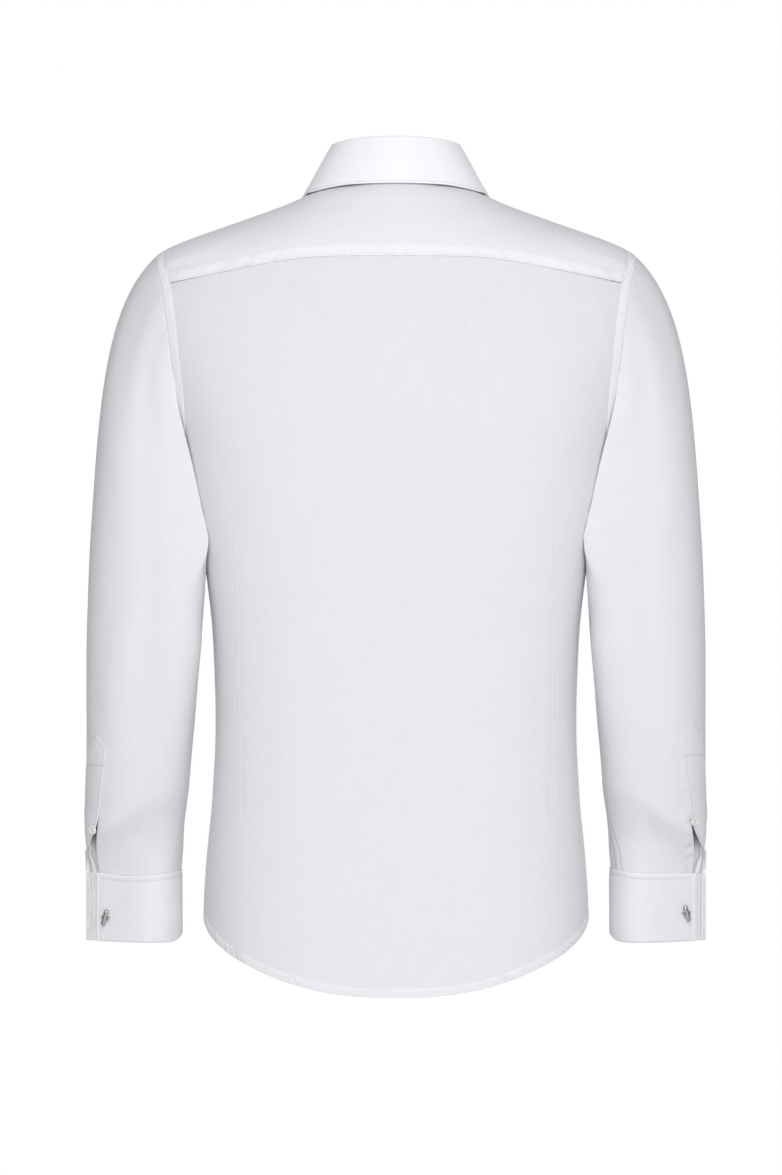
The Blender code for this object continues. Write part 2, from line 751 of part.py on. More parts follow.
def fall_half(lapped):
    """Visible face of one half of the fall: rows from inside the neck over the roll to the edge."""
    _, upper, turns = stand_half(lapped)
    centre_front = int(np.argmin(np.abs(turns - 180)))
    before = upper[centre_front - 1] - upper[centre_front]
    end = upper[centre_front] + unit(before) * FALL_END
    top = np.concatenate([upper[:centre_front], [end]])
    turns = turns[: centre_front + 1]
    edge = np.stack([FALL_EDGE.read(axis, turns) for axis in "xyz"], axis=-1)
    outward = unit(top * np.array([1, 1, 0]))
    up = np.array([0, 0, 1.0])
    roll = (FALL_ROLL + FALL_FRONT_ROLL * ease((turns - FALL_FRONT_TURN) / FALL_FRONT_RUN))[:, None]
    start = top - outward * WALL + up * SEAM_GAP
    centre = start + up * FALL_START + outward * roll
    rows = [start]
    for degrees in FALL_ROLL_TURNS:
        turn = math.radians(degrees)
        rows.append(centre + roll * (math.cos(turn) * outward + math.sin(turn) * up))
    leaf = rows[-1]
    for share in (1 / 3, 2 / 3, 1):
        bow = 4 * share * (1 - share) * FALL_BOW
        rows.append(leaf * (1 - share) + edge * share + bow * outward)
    return np.stack(rows)


def make_fall(material):
    grid = whole_round(fall_half(False), fall_half(True))
    normals = -grid_normals(grid)
    normals[0] = unit(normals[0] * np.array([1, 1, 0]))
    make_cloth("collar_fall", grid, grid - normals * WALL, material)


# ---------------------------------------------------------------- sleeves


def armhole_loop():
    """The left armhole's (turn, height) pairs, from the slit's column by the back and underarm."""
    back_shoulder = seam_turns(BACK_SHOULDER, SHOULDER_CELLS // 2, False)
    front_shoulder = seam_turns(FRONT_SHOULDER, SHOULDER_CELLS // 2, True)
    back = seam_turns(BACK_ARMHOLE, ARMHOLE_CELLS, False)
    front = seam_turns(FRONT_ARMHOLE, ARMHOLE_CELLS, True)
    start = SHOULDER_CELLS // 2 - SLIT_COLUMN
    return np.concatenate(
        [
            back_shoulder[start:],
            back[1:],
            front[::-1][1:],
            front_shoulder[::-1][1:],
            back_shoulder[1 : start + 1],
        ]
    )


def cuff_plan(count, inset, end_trim=0.0):
    """Points spread along the cuff's plan, moved in from its outermost face; also (x, y) normals."""
    line = even_points(CUFF_PLAN, PLAN_STEPS)
    along = np.gradient(line, axis=0)
    normal = unit(np.stack([along[:, 1], -along[:, 0]], axis=-1))
    length = np.concatenate([[0], np.cumsum(np.linalg.norm(np.diff(line, axis=0), axis=1))])
    wanted = np.linspace(end_trim, length[-1] - end_trim, count + 1)
    flat = np.stack([np.interp(wanted, length, line[:, axis]) for axis in range(2)], axis=-1)
    outward = unit(np.stack([np.interp(wanted, length, normal[:, axis]) for axis in range(2)], axis=-1))
    return flat - outward * np.asarray(inset)[..., None], outward


def sleeve_point(share, height, shift):
    """Point of the left sleeve below its head; share runs 0..1 round it from the slit's back edge."""
    share = np.asarray(share, float)
    height = np.asarray(height, float)
    beside_body = BODY.read("half_width", height) + SLEEVE_CLEARANCE
    inner = np.maximum(SLEEVE.read("inner", height), beside_body)
    outer = SLEEVE.read("outer", height)
    slit = SLEEVE.read("slit_turn", height) + shift * ease((HEAD_END - height) / SLIT_SHIFT_RUN)
    turn = np.radians(slit + 360 * share)
    relief = crease_relief(SLEEVE_CREASES, SLEEVE_PER_DEGREE, turn % (2 * math.pi), height)
    half_width = 0.5 * (outer - inner) + relief
    half_depth = SLEEVE.read("half_depth", height) + relief
    inwards = np.clip(-np.cos(turn), 0, 1) * np.clip(np.sin(turn), 0, 1)
    full = 1 + SLEEVE_FULLNESS * (2 * inwards) ** 2
    ring_x = np.maximum(0.5 * (outer + inner) + half_width * np.cos(turn) * full, inner)
    ring_y = SLEEVE.read("middle_depth", height) + half_depth * np.sin(turn) * full
    plan_x, plan_y = cuff_shape(share, height)
    from_slit = np.minimum(np.abs(share), np.abs(1 - share))
    start = OPENING_START - SLIT_HOLD * np.exp(-((from_slit / SLIT_HOLD_REACH) ** 2))
    blend = ease((start - height) / (start - CUFF_TOP))
    x = ring_x * (1 - blend) + plan_x * blend
    y = ring_y * (1 - blend) + plan_y * blend
    return np.stack([x, y, height + 0 * share], axis=-1)


def cuff_shape(share, height):
    """Plan of the sleeve where it nears the cuff, by the share of the way round."""
    line, outward = cuff_plan(PLAN_STEPS, np.zeros(PLAN_STEPS + 1), end_trim=SLEEVE_END_TRIM)
    shares = np.linspace(0, 1, PLAN_STEPS + 1)
    inset = SLEEVE_END.read("inset", height)
    x = np.interp(share, shares, line[:, 0]) - inset * np.interp(share, shares, outward[:, 0])
    y = np.interp(share, shares, line[:, 1]) - inset * np.interp(share, shares, outward[:, 1])
    return x, y


def sleeve_heights(side):
    """Heights of the sleeve's rings, one of them at the top of the slit."""
    top = side["slit_top"]
    upper = np.linspace(HEAD_END, top, UPPER_ROWS)
    lower = np.linspace(top, SLIT_ROWS_END, SLIT_ROWS)[1:]
    return upper, np.concatenate([lower, CUFF_ROWS, [CUFF_TOP + SEAM_GAP]])


def sleeve_grid(side):
    """Outer face of a sleeve, as on the wearer's left: points, normals and the number of closed rows."""
    loop = armhole_loop()
    first = body_point(loop[:, 0], loop[:, 1])
    body_normals = body_normal(loop[:, 0], loop[:, 1])
    share = np.linspace(0, 1, SLEEVE_CELLS + 1)
    ring = sleeve_point(share, np.full(SLEEVE_CELLS + 1, HEAD_END), side["slit_shift"])
    below = sleeve_point(share, np.full(SLEEVE_CELLS + 1, HEAD_END - 12), side["slit_shift"])
    along = 0.5 * (np.roll(first[:-1], -1, axis=0) - np.roll(first[:-1], 1, axis=0))
    along = np.concatenate([along, along[:1]])
    outward = unit(np.cross(unit(along), body_normals))
    turn = 180 - np.abs(180 - (SLIT_DEGREES + 360 * share) % 360)
    from_underarm = 180 - turn
    chord = ring - first
    reach = np.linalg.norm(chord, axis=1, keepdims=True)
    direction = unit(chord)
    direction = direction + outward * SLEEVE_HEAD.read("outward", from_underarm)[:, None]
    direction = unit(direction + body_normals * SLEEVE_HEAD.read("lift", from_underarm)[:, None])
    start = direction * reach * SLEEVE_HEAD.read("first_pull", from_underarm)[:, None]
    finish = unit(below - ring) * reach * SLEEVE_HEAD.read("last_pull", from_underarm)[:, None]
    rows = []
    for t in np.linspace(0, 1, HEAD_ROWS + 1)[:-1]:
        rows.append(
            first * (1 + 2 * t) * (1 - t) ** 2
            + ring * t * t * (3 - 2 * t)
            + start * t * (1 - t) ** 2
            - finish * t * t * (1 - t)
        )
    upper, lower = sleeve_heights(side)
    for height in np.concatenate([upper, lower]):
        rows.append(sleeve_point(share, np.full(SLEEVE_CELLS + 1, height), side["slit_shift"]))
    grid = np.stack(rows)
    closed_rows = HEAD_ROWS + len(upper)
    normals = grid_normals(grid, closed_rows)
    # The wall turns over quickly beside the slit; evened normals keep its inner face whole
    normals[closed_rows:-1] += 0.5 * (normals[closed_rows - 1 : -2] + normals[closed_rows + 1 :])
    normals = unit(normals)
    behind = np.sum(direction * body_normals, axis=1)
    folded = -np.sum(direction * outward, axis=1)
    valley = ease(np.maximum(behind, folded) / VALLEY_SHARE)[:, None]
    normals[0] = unit(body_normals * (1 - valley) + normals[0] * valley)
    grid[0] += SEAM_GAP / 2 * unit(grid[1] - grid[0]) + SEAM_GAP * valley * body_normals
    return grid, normals, closed_rows


def open_slit(grid, closed_rows):
    """Parts the two edges of the slit, which opens below its top."""
    below_top = grid[closed_rows - 1, 0, 2] - grid[closed_rows:, 0, 2]
    opening = (SEAM_GAP + SLIT_OPENING * ease(below_top / SLIT_OPENING_RUN))[:, None]
    around = unit(grid[closed_rows:, 1] - grid[closed_rows:, 0])
    back_around = unit(grid[closed_rows:, -2] - grid[closed_rows:, -1])
    grid[closed_rows:, 0] += around * opening
    grid[closed_rows:, -1] += back_around * opening


def make_sleeve(name, side, material):
    grid, normals, closed_rows = sleeve_grid(side)
    open_slit(grid, closed_rows)
    flip = np.array([side["sign"], 1, 1])
    inner = grid - normals * WALL
    make_cloth(name, grid * flip, inner * flip, material, closed_rows)


def gauntlet_shares(height):
    """Where the gauntlet's columns lie round the sleeve, from past the slit's front edge.

    Along the slit it covers two of the sleeve's own cells, so that its faces follow theirs.
    """
    girth = SLEEVE_GIRTH.read("girth", height)
    cell = 1 / SLEEVE_CELLS
    narrow = (GAUNTLET_WIDTH - GAUNTLET_OVERHANG) / girth
    edge = narrow + (2 * cell - narrow) * ease((GAUNTLET_WIDENS - height) / GAUNTLET_WIDENS_RUN)
    return [1 + GAUNTLET_OVERHANG / girth, 1.0, 1 - cell, 1 - edge]


def gauntlet_grid(side, sleeve, heights):
    """Points on the sleeve's own faces under the gauntlet; rows run down, columns from its free edge."""
    tip = side["tip"]
    across = np.array(GAUNTLET_COLUMNS)
    bottom = CUFF_TOP + GAUNTLET_END
    first = tip - GAUNTLET_POINT * np.abs(across)
    highest = tip - GAUNTLET_POINT - GAUNTLET_ROW_GAP
    inner_rows = [height for height in heights if bottom + GAUNTLET_ROW_GAP < height < highest]
    levels = [first] + [np.full(len(across), height) for height in inner_rows]
    levels.append(np.full(len(across), bottom))
    rows = []
    for level in levels:
        shares = gauntlet_shares(float(np.mean(level)))
        rows.append([on_sleeve(sleeve, heights, share, height) for share, height in zip(shares, level)])
    return np.array(rows)


def on_sleeve(sleeve, heights, share, height):
    """Point on a sleeve's faces; past a share of 1 it runs straight on from the slit's front edge."""
    row = int(np.clip(np.searchsorted(-heights, -height) - 1, 0, len(heights) - 2))
    down = (heights[row] - height) / (heights[row] - heights[row + 1])
    place = share * SLEEVE_CELLS
    column = int(np.clip(place, 0, SLEEVE_CELLS - 1))
    over = place - column
    if over > 1:
        edge = on_sleeve(sleeve, heights, 1.0, height)
        before = on_sleeve(sleeve, heights, 1 - 1 / SLEEVE_CELLS, height)
        return edge + (edge - before) * (over - 1)
    a = sleeve[row, column]
    b = sleeve[row, column + 1]
    c = sleeve[row + 1, column + 1]
    d = sleeve[row + 1, column]
    if splits_from_first(a, b, c, d):
        if over > down:
            return a * (1 - over) + b * (over - down) + c * down
        return a * (1 - down) + d * (down - over) + c * over
    if over + down < 1:
        return a * (1 - over - down) + b * over + d * down
    return b * (1 - down) + d * (1 - over) + c * (over + down - 1)


def make_gauntlet(name, side, material):
    grid, _, _ = sleeve_grid(side)
    upper, lower = sleeve_heights(side)
    surface = gauntlet_grid(side, grid[HEAD_ROWS:], np.concatenate([upper, lower]))
    normals = -grid_normals(surface)
    flip = np.array([side["sign"], 1, 1])
    inner = surface + normals * GAUNTLET_STANDOFF
    outer = surface + normals * (GAUNTLET_STANDOFF + WALL)
    make_cloth(name, outer * flip, inner * flip, material)
    return outer, normals


# ---------------------------------------------------------------- cuffs


def make_cuff(name, side, material):
    """Double cuff: two layers folded at the bottom, swept round the wrist, ends meeting in a fin."""
    full = 2 * WALL + CUFF_LAYER_GAP
    floor = CUFF_FOLD + FOLD_WALL
    section = [
        (0, CUFF_TOP),
        (0, CUFF_FOLD + FOLD_RADIUS),
        (FOLD_BEVEL, CUFF_FOLD),
        (full - FOLD_BEVEL, CUFF_FOLD),
        (full, CUFF_FOLD + FOLD_RADIUS),
        (full, CUFF_TOP),
        (full - WALL, CUFF_TOP),
        (full - WALL, floor),
        (WALL, floor),
        (WALL, CUFF_TOP),
    ]
    edge, _ = cuff_plan(CUFF_CELLS, np.zeros(CUFF_CELLS + 1))
    rise = FOLD_RISE * ease((FOLD_RISE_FROM - edge[:, 0]) / (FOLD_RISE_FROM - edge[:, 0].min()))
    rings = []
    for inset, height in section:
        line, _ = cuff_plan(CUFF_CELLS, np.full(CUFF_CELLS + 1, inset))
        levels = np.where(height < CUFF_TOP, height + rise, height)
        rings.append([(x * side["sign"], y, level) for (x, y), level in zip(line, levels)])
    bm = bmesh.new()
    vertices = [[bm.verts.new(point) for point in ring] for ring in rings]
    for first, second in zip(vertices, vertices[1:] + vertices[:1]):
        for step in range(CUFF_CELLS):
            bm.faces.new((first[step], first[step + 1], second[step + 1], second[step]))
    # Each end is closed layer by layer, by the section's own numbering
    for end in (0, -1):
        layer = [ring[end] for ring in vertices]
        bm.faces.new((layer[0], layer[1], layer[8], layer[9]))
        bm.faces.new((layer[1], layer[2], layer[3], layer[4], layer[7], layer[8]))
        bm.faces.new((layer[4], layer[5], layer[6], layer[7]))
    cuff = finish_mesh(name, bm, material)
    cut_buttonhole(cuff, side)


def cut_buttonhole(cuff, side):
    """Horizontal slot through both ends of the cuff."""
    bm = bmesh.new()
    make_block(bm, (HOLE_LENGTH, HOLE_HEIGHT, 5 * FIN_HALF), fin_placement(side))
    cutter = finish_mesh(cuff.name + "_buttonhole_cutter", bm, cuff.data.materials[0])
    cutter.hide_render = True
    cutter.display_type = "WIRE"
    cut = cuff.modifiers.new("buttonhole", "BOOLEAN")
    cut.operation = "DIFFERENCE"
    cut.object = cutter
    cut.solver = "EXACT"


def fin_placement(side):
    """Matrix with its origin inside the fin at the buttonhole and its Z axis out of the fin's back."""
    x, y = FIN_MIDDLE
    slant = math.radians(FIN_SLANT)
    normal = (math.sin(slant) * side["sign"], math.cos(slant), 0)
    return placed((x * side["sign"], y, side["link"]), normal)


# ---------------------------------------------------------------- cufflinks


def make_cufflink(name, side, material):
    """Post with a fork and a flange, the swivel bar in the fork and the plain face in front."""
    back = fin_placement(side)
    tilt = Matrix.Rotation(math.radians(LINK_BAR_TILT * side["sign"]), 4, "Z")
    fork_start = FIN_HALF + LINK_CLEARANCE + LINK_FORK_START
    bar_middle = fork_start + LINK_FORK_FLOOR + LINK_BAR_RADIUS
    fork_top = bar_middle + LINK_FORK_LIP
    flange_back = -FIN_HALF - LINK_PLAY
    flange_front = flange_back - LINK_FLANGE_THICKNESS
    along_bar = Matrix.Rotation(math.pi / 2, 4, "X")
    bar_place = back @ tilt @ Matrix.Translation((0, 0, bar_middle)) @ along_bar
    fork_place = back @ tilt @ Matrix.Translation((0, 0, 0.5 * (fork_top + fork_start)))

    post_end = fork_start + LINK_FORK_FLOOR / 2
    profile = [(0, flange_front), (LINK_FLANGE_RADIUS, flange_front), (LINK_FLANGE_RADIUS, flange_back)]
    profile += [(LINK_POST_RADIUS, flange_back), (LINK_POST_RADIUS, post_end), (0, post_end)]
    bm = bmesh.new()
    make_turned(bm, profile, LINK_SEGMENTS, back)
    post = finish_mesh(name + "_post", bm, material, LINK_SHARP)

    fork_size = (2 * (LINK_BAR_RADIUS + LINK_FORK_WALL), LINK_FORK_WIDTH, fork_top - fork_start)
    bm = bmesh.new()
    make_block(bm, fork_size, fork_place)
    fork = finish_mesh(name + "_fork_shape", bm, material, LINK_SHARP)
    hole = LINK_BAR_RADIUS + LINK_CLEARANCE
    bm = bmesh.new()
    make_turned(bm, [(0, -hole), (hole, -hole), (hole, hole), (0, hole)], LINK_SEGMENTS, bar_place)
    bore = finish_mesh(name + "_bore_shape", bm, material, LINK_SHARP)
    for shape, operation in ((fork, "UNION"), (bore, "DIFFERENCE")):
        shape.hide_render = True
        shape.display_type = "WIRE"
        step = post.modifiers.new(operation.lower(), "BOOLEAN")
        step.operation = operation
        step.object = shape
        step.solver = "EXACT"

    half = LINK_BAR_LENGTH / 2
    ends = [(0, -half), (LINK_BAR_TIP, LINK_BAR_CHAMFER - half), (LINK_BAR_RADIUS, LINK_BAR_TAPER - half)]
    profile = ends + [(LINK_BAR_RADIUS, 0)] + [(radius, -height) for radius, height in reversed(ends)]
    bm = bmesh.new()
    make_turned(bm, profile, LINK_SEGMENTS, bar_place)
    finish_mesh(name + "_bar", bm, material, LINK_SHARP)

    front = flange_front - SEAM_GAP
    edge = front - LINK_FACE_THICKNESS
    profile = [(0, front), (LINK_FACE_RADIUS, front), (LINK_FACE_RADIUS, edge)]
    profile += [(LINK_FACE_RADIUS - LINK_FACE_BEVEL, edge - LINK_FACE_BEVEL), (0, edge - LINK_FACE_DOME)]
    bm = bmesh.new()
    make_turned(bm, profile, LINK_SEGMENTS, back)
    finish_mesh(name + "_face", bm, material, LINK_SHARP)


# ---------------------------------------------------------------- buttons


def make_button(name, radius, centre, normal, material):
    """Round button with a raised rim, just off the cloth; centre is on the cloth."""
    low = SEAM_GAP
    high = SEAM_GAP + BUTTON_THICKNESS
    profile = [(0, low), (radius - BUTTON_EDGE, low), (radius, 0.5 * (low + high))]
    profile += [(radius - BUTTON_EDGE, high), (radius - BUTTON_RIM, high - BUTTON_DISH)]
    profile += [(0, high - BUTTON_DISH)]
    bm = bmesh.new()
    make_turned(bm, profile, BUTTON_SEGMENTS, placed(centre, normal))
    finish_mesh(name, bm, material, BUTTON_SHARP)


def make_front_buttons(material):
    for number, height in enumerate(BUTTON_HEIGHTS, 1):
        centre = body_point(np.array(math.pi), np.array(float(height)))
        normal = body_normal(np.array(math.pi), np.array(float(height)))
        make_button(f"front_button_{number}", FRONT_BUTTON_RADIUS, centre + normal * LAP_LIFT, normal, material)


def make_collar_button(material):
    lower, upper, turns = stand_half(True)
    at_centre = int(np.argmin(np.abs(turns - 180)))
    across = unit(lower[at_centre + 1] - lower[at_centre - 1])
    normal = unit(np.cross(across, upper[at_centre] - lower[at_centre]))
    normal = normal * np.sign(-normal[1])
    centre = 0.5 * (lower[at_centre] + upper[at_centre]) + normal * (STAND_BOW + COLLAR_BUTTON_RISE)
    make_button("collar_button", FRONT_BUTTON_RADIUS, centre, normal, material)


def make_sleeve_button(name, side, outer, normals, material):
    """Button on the gauntlet, near its free edge and half way down the slit."""
    row = int(np.argmin(np.abs(outer[:, 1, 2] - side["button"])))
    flip = np.array([side["sign"], 1, 1])
    inwards = SLEEVE_BUTTON_INWARDS
    centre = ((1 - inwards) * outer[row, 1] + inwards * outer[row, 2]) * flip
    normal = normals[row, 1] * flip
    make_button(name, SLEEVE_BUTTON_RADIUS, centre + SLEEVE_BUTTON_RISE * normal, normal, material)


def main():
    for old in list(bpy.data.objects):
        bpy.data.objects.remove(old, do_unlink=True)
    cotton = make_material("white_cotton", (0.86, 0.87, 0.90), 0.85)
    double_cotton = make_material("white_cotton_double", (0.90, 0.91, 0.93), 0.85)
    shell = make_material("white_button", (0.88, 0.87, 0.84), 0.3)
    metal = make_material("polished_metal", (0.62, 0.62, 0.63), 0.2, 1.0)
    make_yoke(double_cotton)
    make_back(cotton)
    make_stand(double_cotton)
    make_fall(double_cotton)
    for word, side in SIDES.items():
        make_front(side, cotton)
        make_sleeve("sleeve_" + word, side, cotton)
        make_cuff("cuff_" + word, side, double_cotton)
        outer, normals = make_gauntlet("gauntlet_" + word, side, double_cotton)
        make_sleeve_button("sleeve_button_" + word, side, outer, normals, shell)
        make_cufflink("cufflink_" + word, side, metal)
    make_front_buttons(shell)
    make_collar_button(shell)


main()
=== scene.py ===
# The looks of a long sleeve dress shirt in white cotton poplin: panels, seams, stitches,
# buttons and cufflinks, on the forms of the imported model. Tables and named sizes are in
# millimetres and degrees unless they say otherwise. +Z is up and the front looks towards -Y.

import math
from types import SimpleNamespace

import bmesh
import bpy
import numpy as np
from mathutils import Matrix, Vector


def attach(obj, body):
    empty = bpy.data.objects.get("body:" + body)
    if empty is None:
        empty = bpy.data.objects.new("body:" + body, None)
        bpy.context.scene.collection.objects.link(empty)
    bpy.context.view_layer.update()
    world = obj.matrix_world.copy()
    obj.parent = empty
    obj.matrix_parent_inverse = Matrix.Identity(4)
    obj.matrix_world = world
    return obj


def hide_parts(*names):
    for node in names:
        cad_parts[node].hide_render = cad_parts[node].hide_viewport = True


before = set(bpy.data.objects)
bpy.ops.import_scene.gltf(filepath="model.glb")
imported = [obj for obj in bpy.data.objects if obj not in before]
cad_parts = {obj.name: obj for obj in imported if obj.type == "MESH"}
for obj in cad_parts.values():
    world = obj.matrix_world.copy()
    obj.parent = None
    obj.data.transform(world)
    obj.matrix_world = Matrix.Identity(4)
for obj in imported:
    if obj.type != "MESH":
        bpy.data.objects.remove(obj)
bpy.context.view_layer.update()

MM = 0.001

# Cloth
CLOTH = 0.5  # thickness of a single layer
LAP_REACH = 15.0  # each front runs this far past the centre line
LAP_LIFT = 2.0
LAP_RAMP = 34.0

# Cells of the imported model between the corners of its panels, which the finer grids keep to
SEAM_CELLS = 8
SHOULDER_CELLS = 6
ARMHOLE_CELLS = 7
SIDE_CELLS = 13
NECK_CELLS = 4
FRONT_SEAM_CELLS = 5
SLEEVE_CELLS = 2 * ARMHOLE_CELLS + SHOULDER_CELLS
SLIT_COLUMN = 2

# Ends of the side seams
ARMPIT = -232.0
SIDE_END = -681.0

# Collar
COLLAR_WALL = 1.2
FALL_ROLL = 1.7
FALL_FRONT_ROLL = 1.2
FALL_FRONT_TURN = 120
FALL_FRONT_RUN = 40
FALL_START = 1.4
FALL_END = 1.5
FALL_BOW = 0.8
STAND_BOW = 0.8

# Cuffs and sleeve ends
CUFF_TOP = -641.5
CUFF_FOLD = -706.0
CUFF_WALL = 1.1
CUFF_LAYER_GAP = 1.8
CUFF_DEPTH = 2 * 1.2 + CUFF_LAYER_GAP  # over both layers
FOLD_RISE = 6.0
FOLD_RISE_FROM = 215.0
SEAM_GAP = 0.3

# Buttonholes and cufflinks
FIN_SLANT = 25.0
FIN_MIDDLE = (274.0, -23.7)
FIN_HALF = 4.6
HOLE_LENGTH = 15.0
HOLE_HEIGHT = 3.6
HOLE_SLIT = 0.12  # half its height away from the link's post
LINK_POST_RADIUS = 1.5
LINK_BAR_LENGTH = 16.5
LINK_BAR_RADIUS = 2.3
LINK_BAR_TILT = -17.0
LINK_FACE_RADIUS = 6.5
LINK_FLANGE_RADIUS = 5.5
LINK_PLAY = 1.6
LINK_FLANGE_THICKNESS = 1.4
LINK_FORK_START = 0.85
LINK_FORK_FLOOR = 1.0
LINK_FORK_LIP = 0.9
LINK_FORK_WALL = 1.2
LINK_FORK_WIDTH = 3.2
LINK_FACE_THICKNESS = 1.6
LINK_FACE_DOME = 1.6

# Buttons
FRONT_BUTTON_RADIUS = 5.6
SLEEVE_BUTTON_RADIUS = 4.5
BUTTON_THICKNESS = 2.4
BUTTON_HEIGHTS = [-118, -203, -288, -373, -458, -543, -628]

# Sleeve slits and gauntlets
SLIT_OPENING = 0.9
SLIT_OPENING_RUN = 50.0
GAUNTLET_WIDTH = 26.0
GAUNTLET_OVERHANG = 2.5
GAUNTLET_STANDOFF = 0.6
GAUNTLET_POINT = 11.0
GAUNTLET_END = 2.2
GAUNTLET_WALL = 1.0
GAUNTLET_STITCH = 1.6
GAUNTLET_WIDENS = -510.0
GAUNTLET_WIDENS_RUN = 40.0

# Seams and stitches
YOKE_BAND = 11.0  # seam allowance folded up inside the yoke
ARMHOLE_BAND = 9.0
SIDE_BAND = 7.0
HEM_BAND = 8.0
BAND_RISE = 0.3
BAND_SINK = 0.25  # how far a band's underside lies in the panel under it
STITCH_PITCH = 2.1
STITCH_LENGTH = 1.55
STITCH_RADIUS = 0.17


# ---------------------------------------------------------------- curves and tables


def bell(distance, width):
    """1 on a line and less beside it."""
    return np.exp(-((distance / width) ** 2))


def ease(value):
    value = np.clip(value, 0, 1)
    return value * value * (3 - 2 * value)


def unit(vectors):
    return vectors / np.maximum(np.linalg.norm(vectors, axis=-1, keepdims=True), 1e-9)


def lengths(points):
    """Length run along a line up to each of its points."""
    return np.concatenate([[0], np.cumsum(np.linalg.norm(np.diff(points, axis=0), axis=1))])


def stacked(*parts):
    """Rows with one value from each part, which may be a plain number."""
    return np.stack(np.broadcast_arrays(*parts), axis=-1)


def read_at(wanted, places, values):
    """Rows of values between rows at places, at the wanted places."""
    return stacked(*(np.interp(wanted, places, column) for column in values.T))


def cubic(first, last, pull, last_pull, t):
    """Smooth step from the first to the last value; the pulls are its slopes at both ends."""
    ends = first * (1 + 2 * t) * (1 - t) ** 2 + last * t * t * (3 - 2 * t)
    return ends + pull * t * (1 - t) ** 2 - last_pull * t * t * (1 - t)


def through(places, values, tangents, at):
    """Curve through rows of values with these tangents; places rise."""
    cell = np.clip(np.searchsorted(places, at) - 1, 0, len(places) - 2)
    width = np.diff(places)[cell]
    t = (at - places[cell]) / width
    if values.ndim > 1:
        width, t = width[:, None], t[:, None]
    return cubic(values[cell], values[cell + 1], tangents[cell] * width, tangents[cell + 1] * width, t)


def smooth_between(places, values, at):
    """Curve through the values that never overshoots them."""
    steps = np.diff(places)
    slopes = np.diff(values) / steps
    rising = slopes[:-1] * slopes[1:] > 0
    before, after = (np.where(rising, part, 1.0) for part in (slopes[:-1], slopes[1:]))
    weight_before = 2 * steps[1:] + steps[:-1]
    weight_after = steps[1:] + 2 * steps[:-1]
    mean = (weight_before + weight_after) / (weight_before / before + weight_after / after)
    tangents = np.concatenate([slopes[:1], np.where(rising, mean, 0.0), slopes[-1:]])
    return through(places, values, tangents, at)


def softened(curve, sigma):
    """The curve after a Gaussian filter that keeps its ends and their slopes."""
    reach = int(3 * sigma)
    kernel = np.exp(-0.5 * (np.arange(-reach, reach + 1) / sigma) ** 2)
    before = 2 * curve[0] - curve[reach:0:-1]
    after = 2 * curve[-1] - curve[-2 : -reach - 2 : -1]
    return np.convolve(np.concatenate([before, curve, after]), kernel / kernel.sum(), "valid")


class Table:
    """Rows of numbers with a name for each column, read smoothly by the first column."""

    def __init__(self, names, rows, soften=0.0):
        self.names = names.split()
        values = np.array(sorted(rows), float)
        step = 0.5
        self.places = np.arange(values[0, 0], values[-1, 0] + step / 2, step)
        self.curves = {}
        for column, name in enumerate(self.names[1:], 1):
            curve = smooth_between(values[:, 0], values[:, column], self.places)
            self.curves[name] = softened(curve, soften / step) if soften else curve

    def read(self, name, at):
        return np.interp(at, self.places, self.curves[name])


def even_points(points, shares, fold=None):
    """Points at these shares of the length of the smooth curve through some points."""
    points = np.array(points, float)
    places = lengths(points)
    tangents = np.gradient(points, places, axis=0)
    if points[0, 0] == 0:
        tangents[0, 1] = 0  # the two halves meet smoothly
    curve = through(places, points, tangents, np.linspace(0, places[-1], 150 * len(points)))
    length = lengths(curve if fold is None else fold(curve))
    return read_at(np.asarray(shares) * length[-1], length, curve)


def chain(parts, at):
    """Several lines end to end, read at places in cells; a part is (line, cells)."""
    ends = np.cumsum([0] + [cells for _, cells in parts])
    places = [np.linspace(start, end, len(line)) for start, end, (line, _) in zip(ends, ends[1:], parts)]
    return read_at(at, np.concatenate(places), np.concatenate([line for line, _ in parts]))


def graded(count, gather):
    """Shares 0..1 in this many cells, closer together at both ends by the share gather."""
    even = np.linspace(0, 1, count + 1)
    return (1 - gather) * even + gather * ease(even)


def uneven(places, spacing, seed):
    """Smooth irregular wave between -1 and 1, whose crests are about this far apart."""
    knots = np.random.default_rng(seed).uniform(-1, 1, 2048)
    t = np.asarray(places, float) / (0.5 * spacing) + 512
    cell = np.floor(t).astype(int)
    blend = ease(t - cell)
    return knots[cell % 2048] * (1 - blend) + knots[(cell + 1) % 2048] * blend


def folds_relief(folds, across, height):
    """Sum of soft troughs (negative) and ridges; a fold is x, z, length, width, depth, lean in degrees."""
    relief = np.zeros_like(across)
    for x, z, length, width, depth, lean in folds:
        sine, cosine = math.sin(math.radians(lean)), math.cos(math.radians(lean))
        along = (height - z) * cosine + (across - x) * sine
        off = (across - x) * cosine - (height - z) * sine
        relief += depth * bell(along, 0.5 * length) * bell(off, 0.5 * width)
    return relief


def crease_relief(creases, per_degree, turn, height):
    """Sum of soft troughs (negative) and ridges at a turn in radians.

    A crease is turn, height, length, width, depth and the turn gained per millimetre of fall.
    """
    relief = np.zeros(np.broadcast(turn, height).shape)
    for place, top, length, width, depth, slant in creases:
        fall = top - height
        across = (np.degrees(turn) - place - slant * fall) * per_degree
        relief += depth * bell(fall, 0.5 * length) * bell(across, 0.5 * width)
    return relief


def pucker(distance, run, depth, spacing, reach, seed):
    """Small uneven waves along a seam, which fade over the reach from it."""
    wave = uneven(run, spacing, seed) * (0.6 + 0.4 * uneven(run, 9 * spacing, seed + 1))
    return depth * wave * bell(distance, reach)


def seam_dip(distance, depth=0.35, width=1.6):
    return -depth * bell(distance, width)


# ---------------------------------------------------------------- shapes in numbers


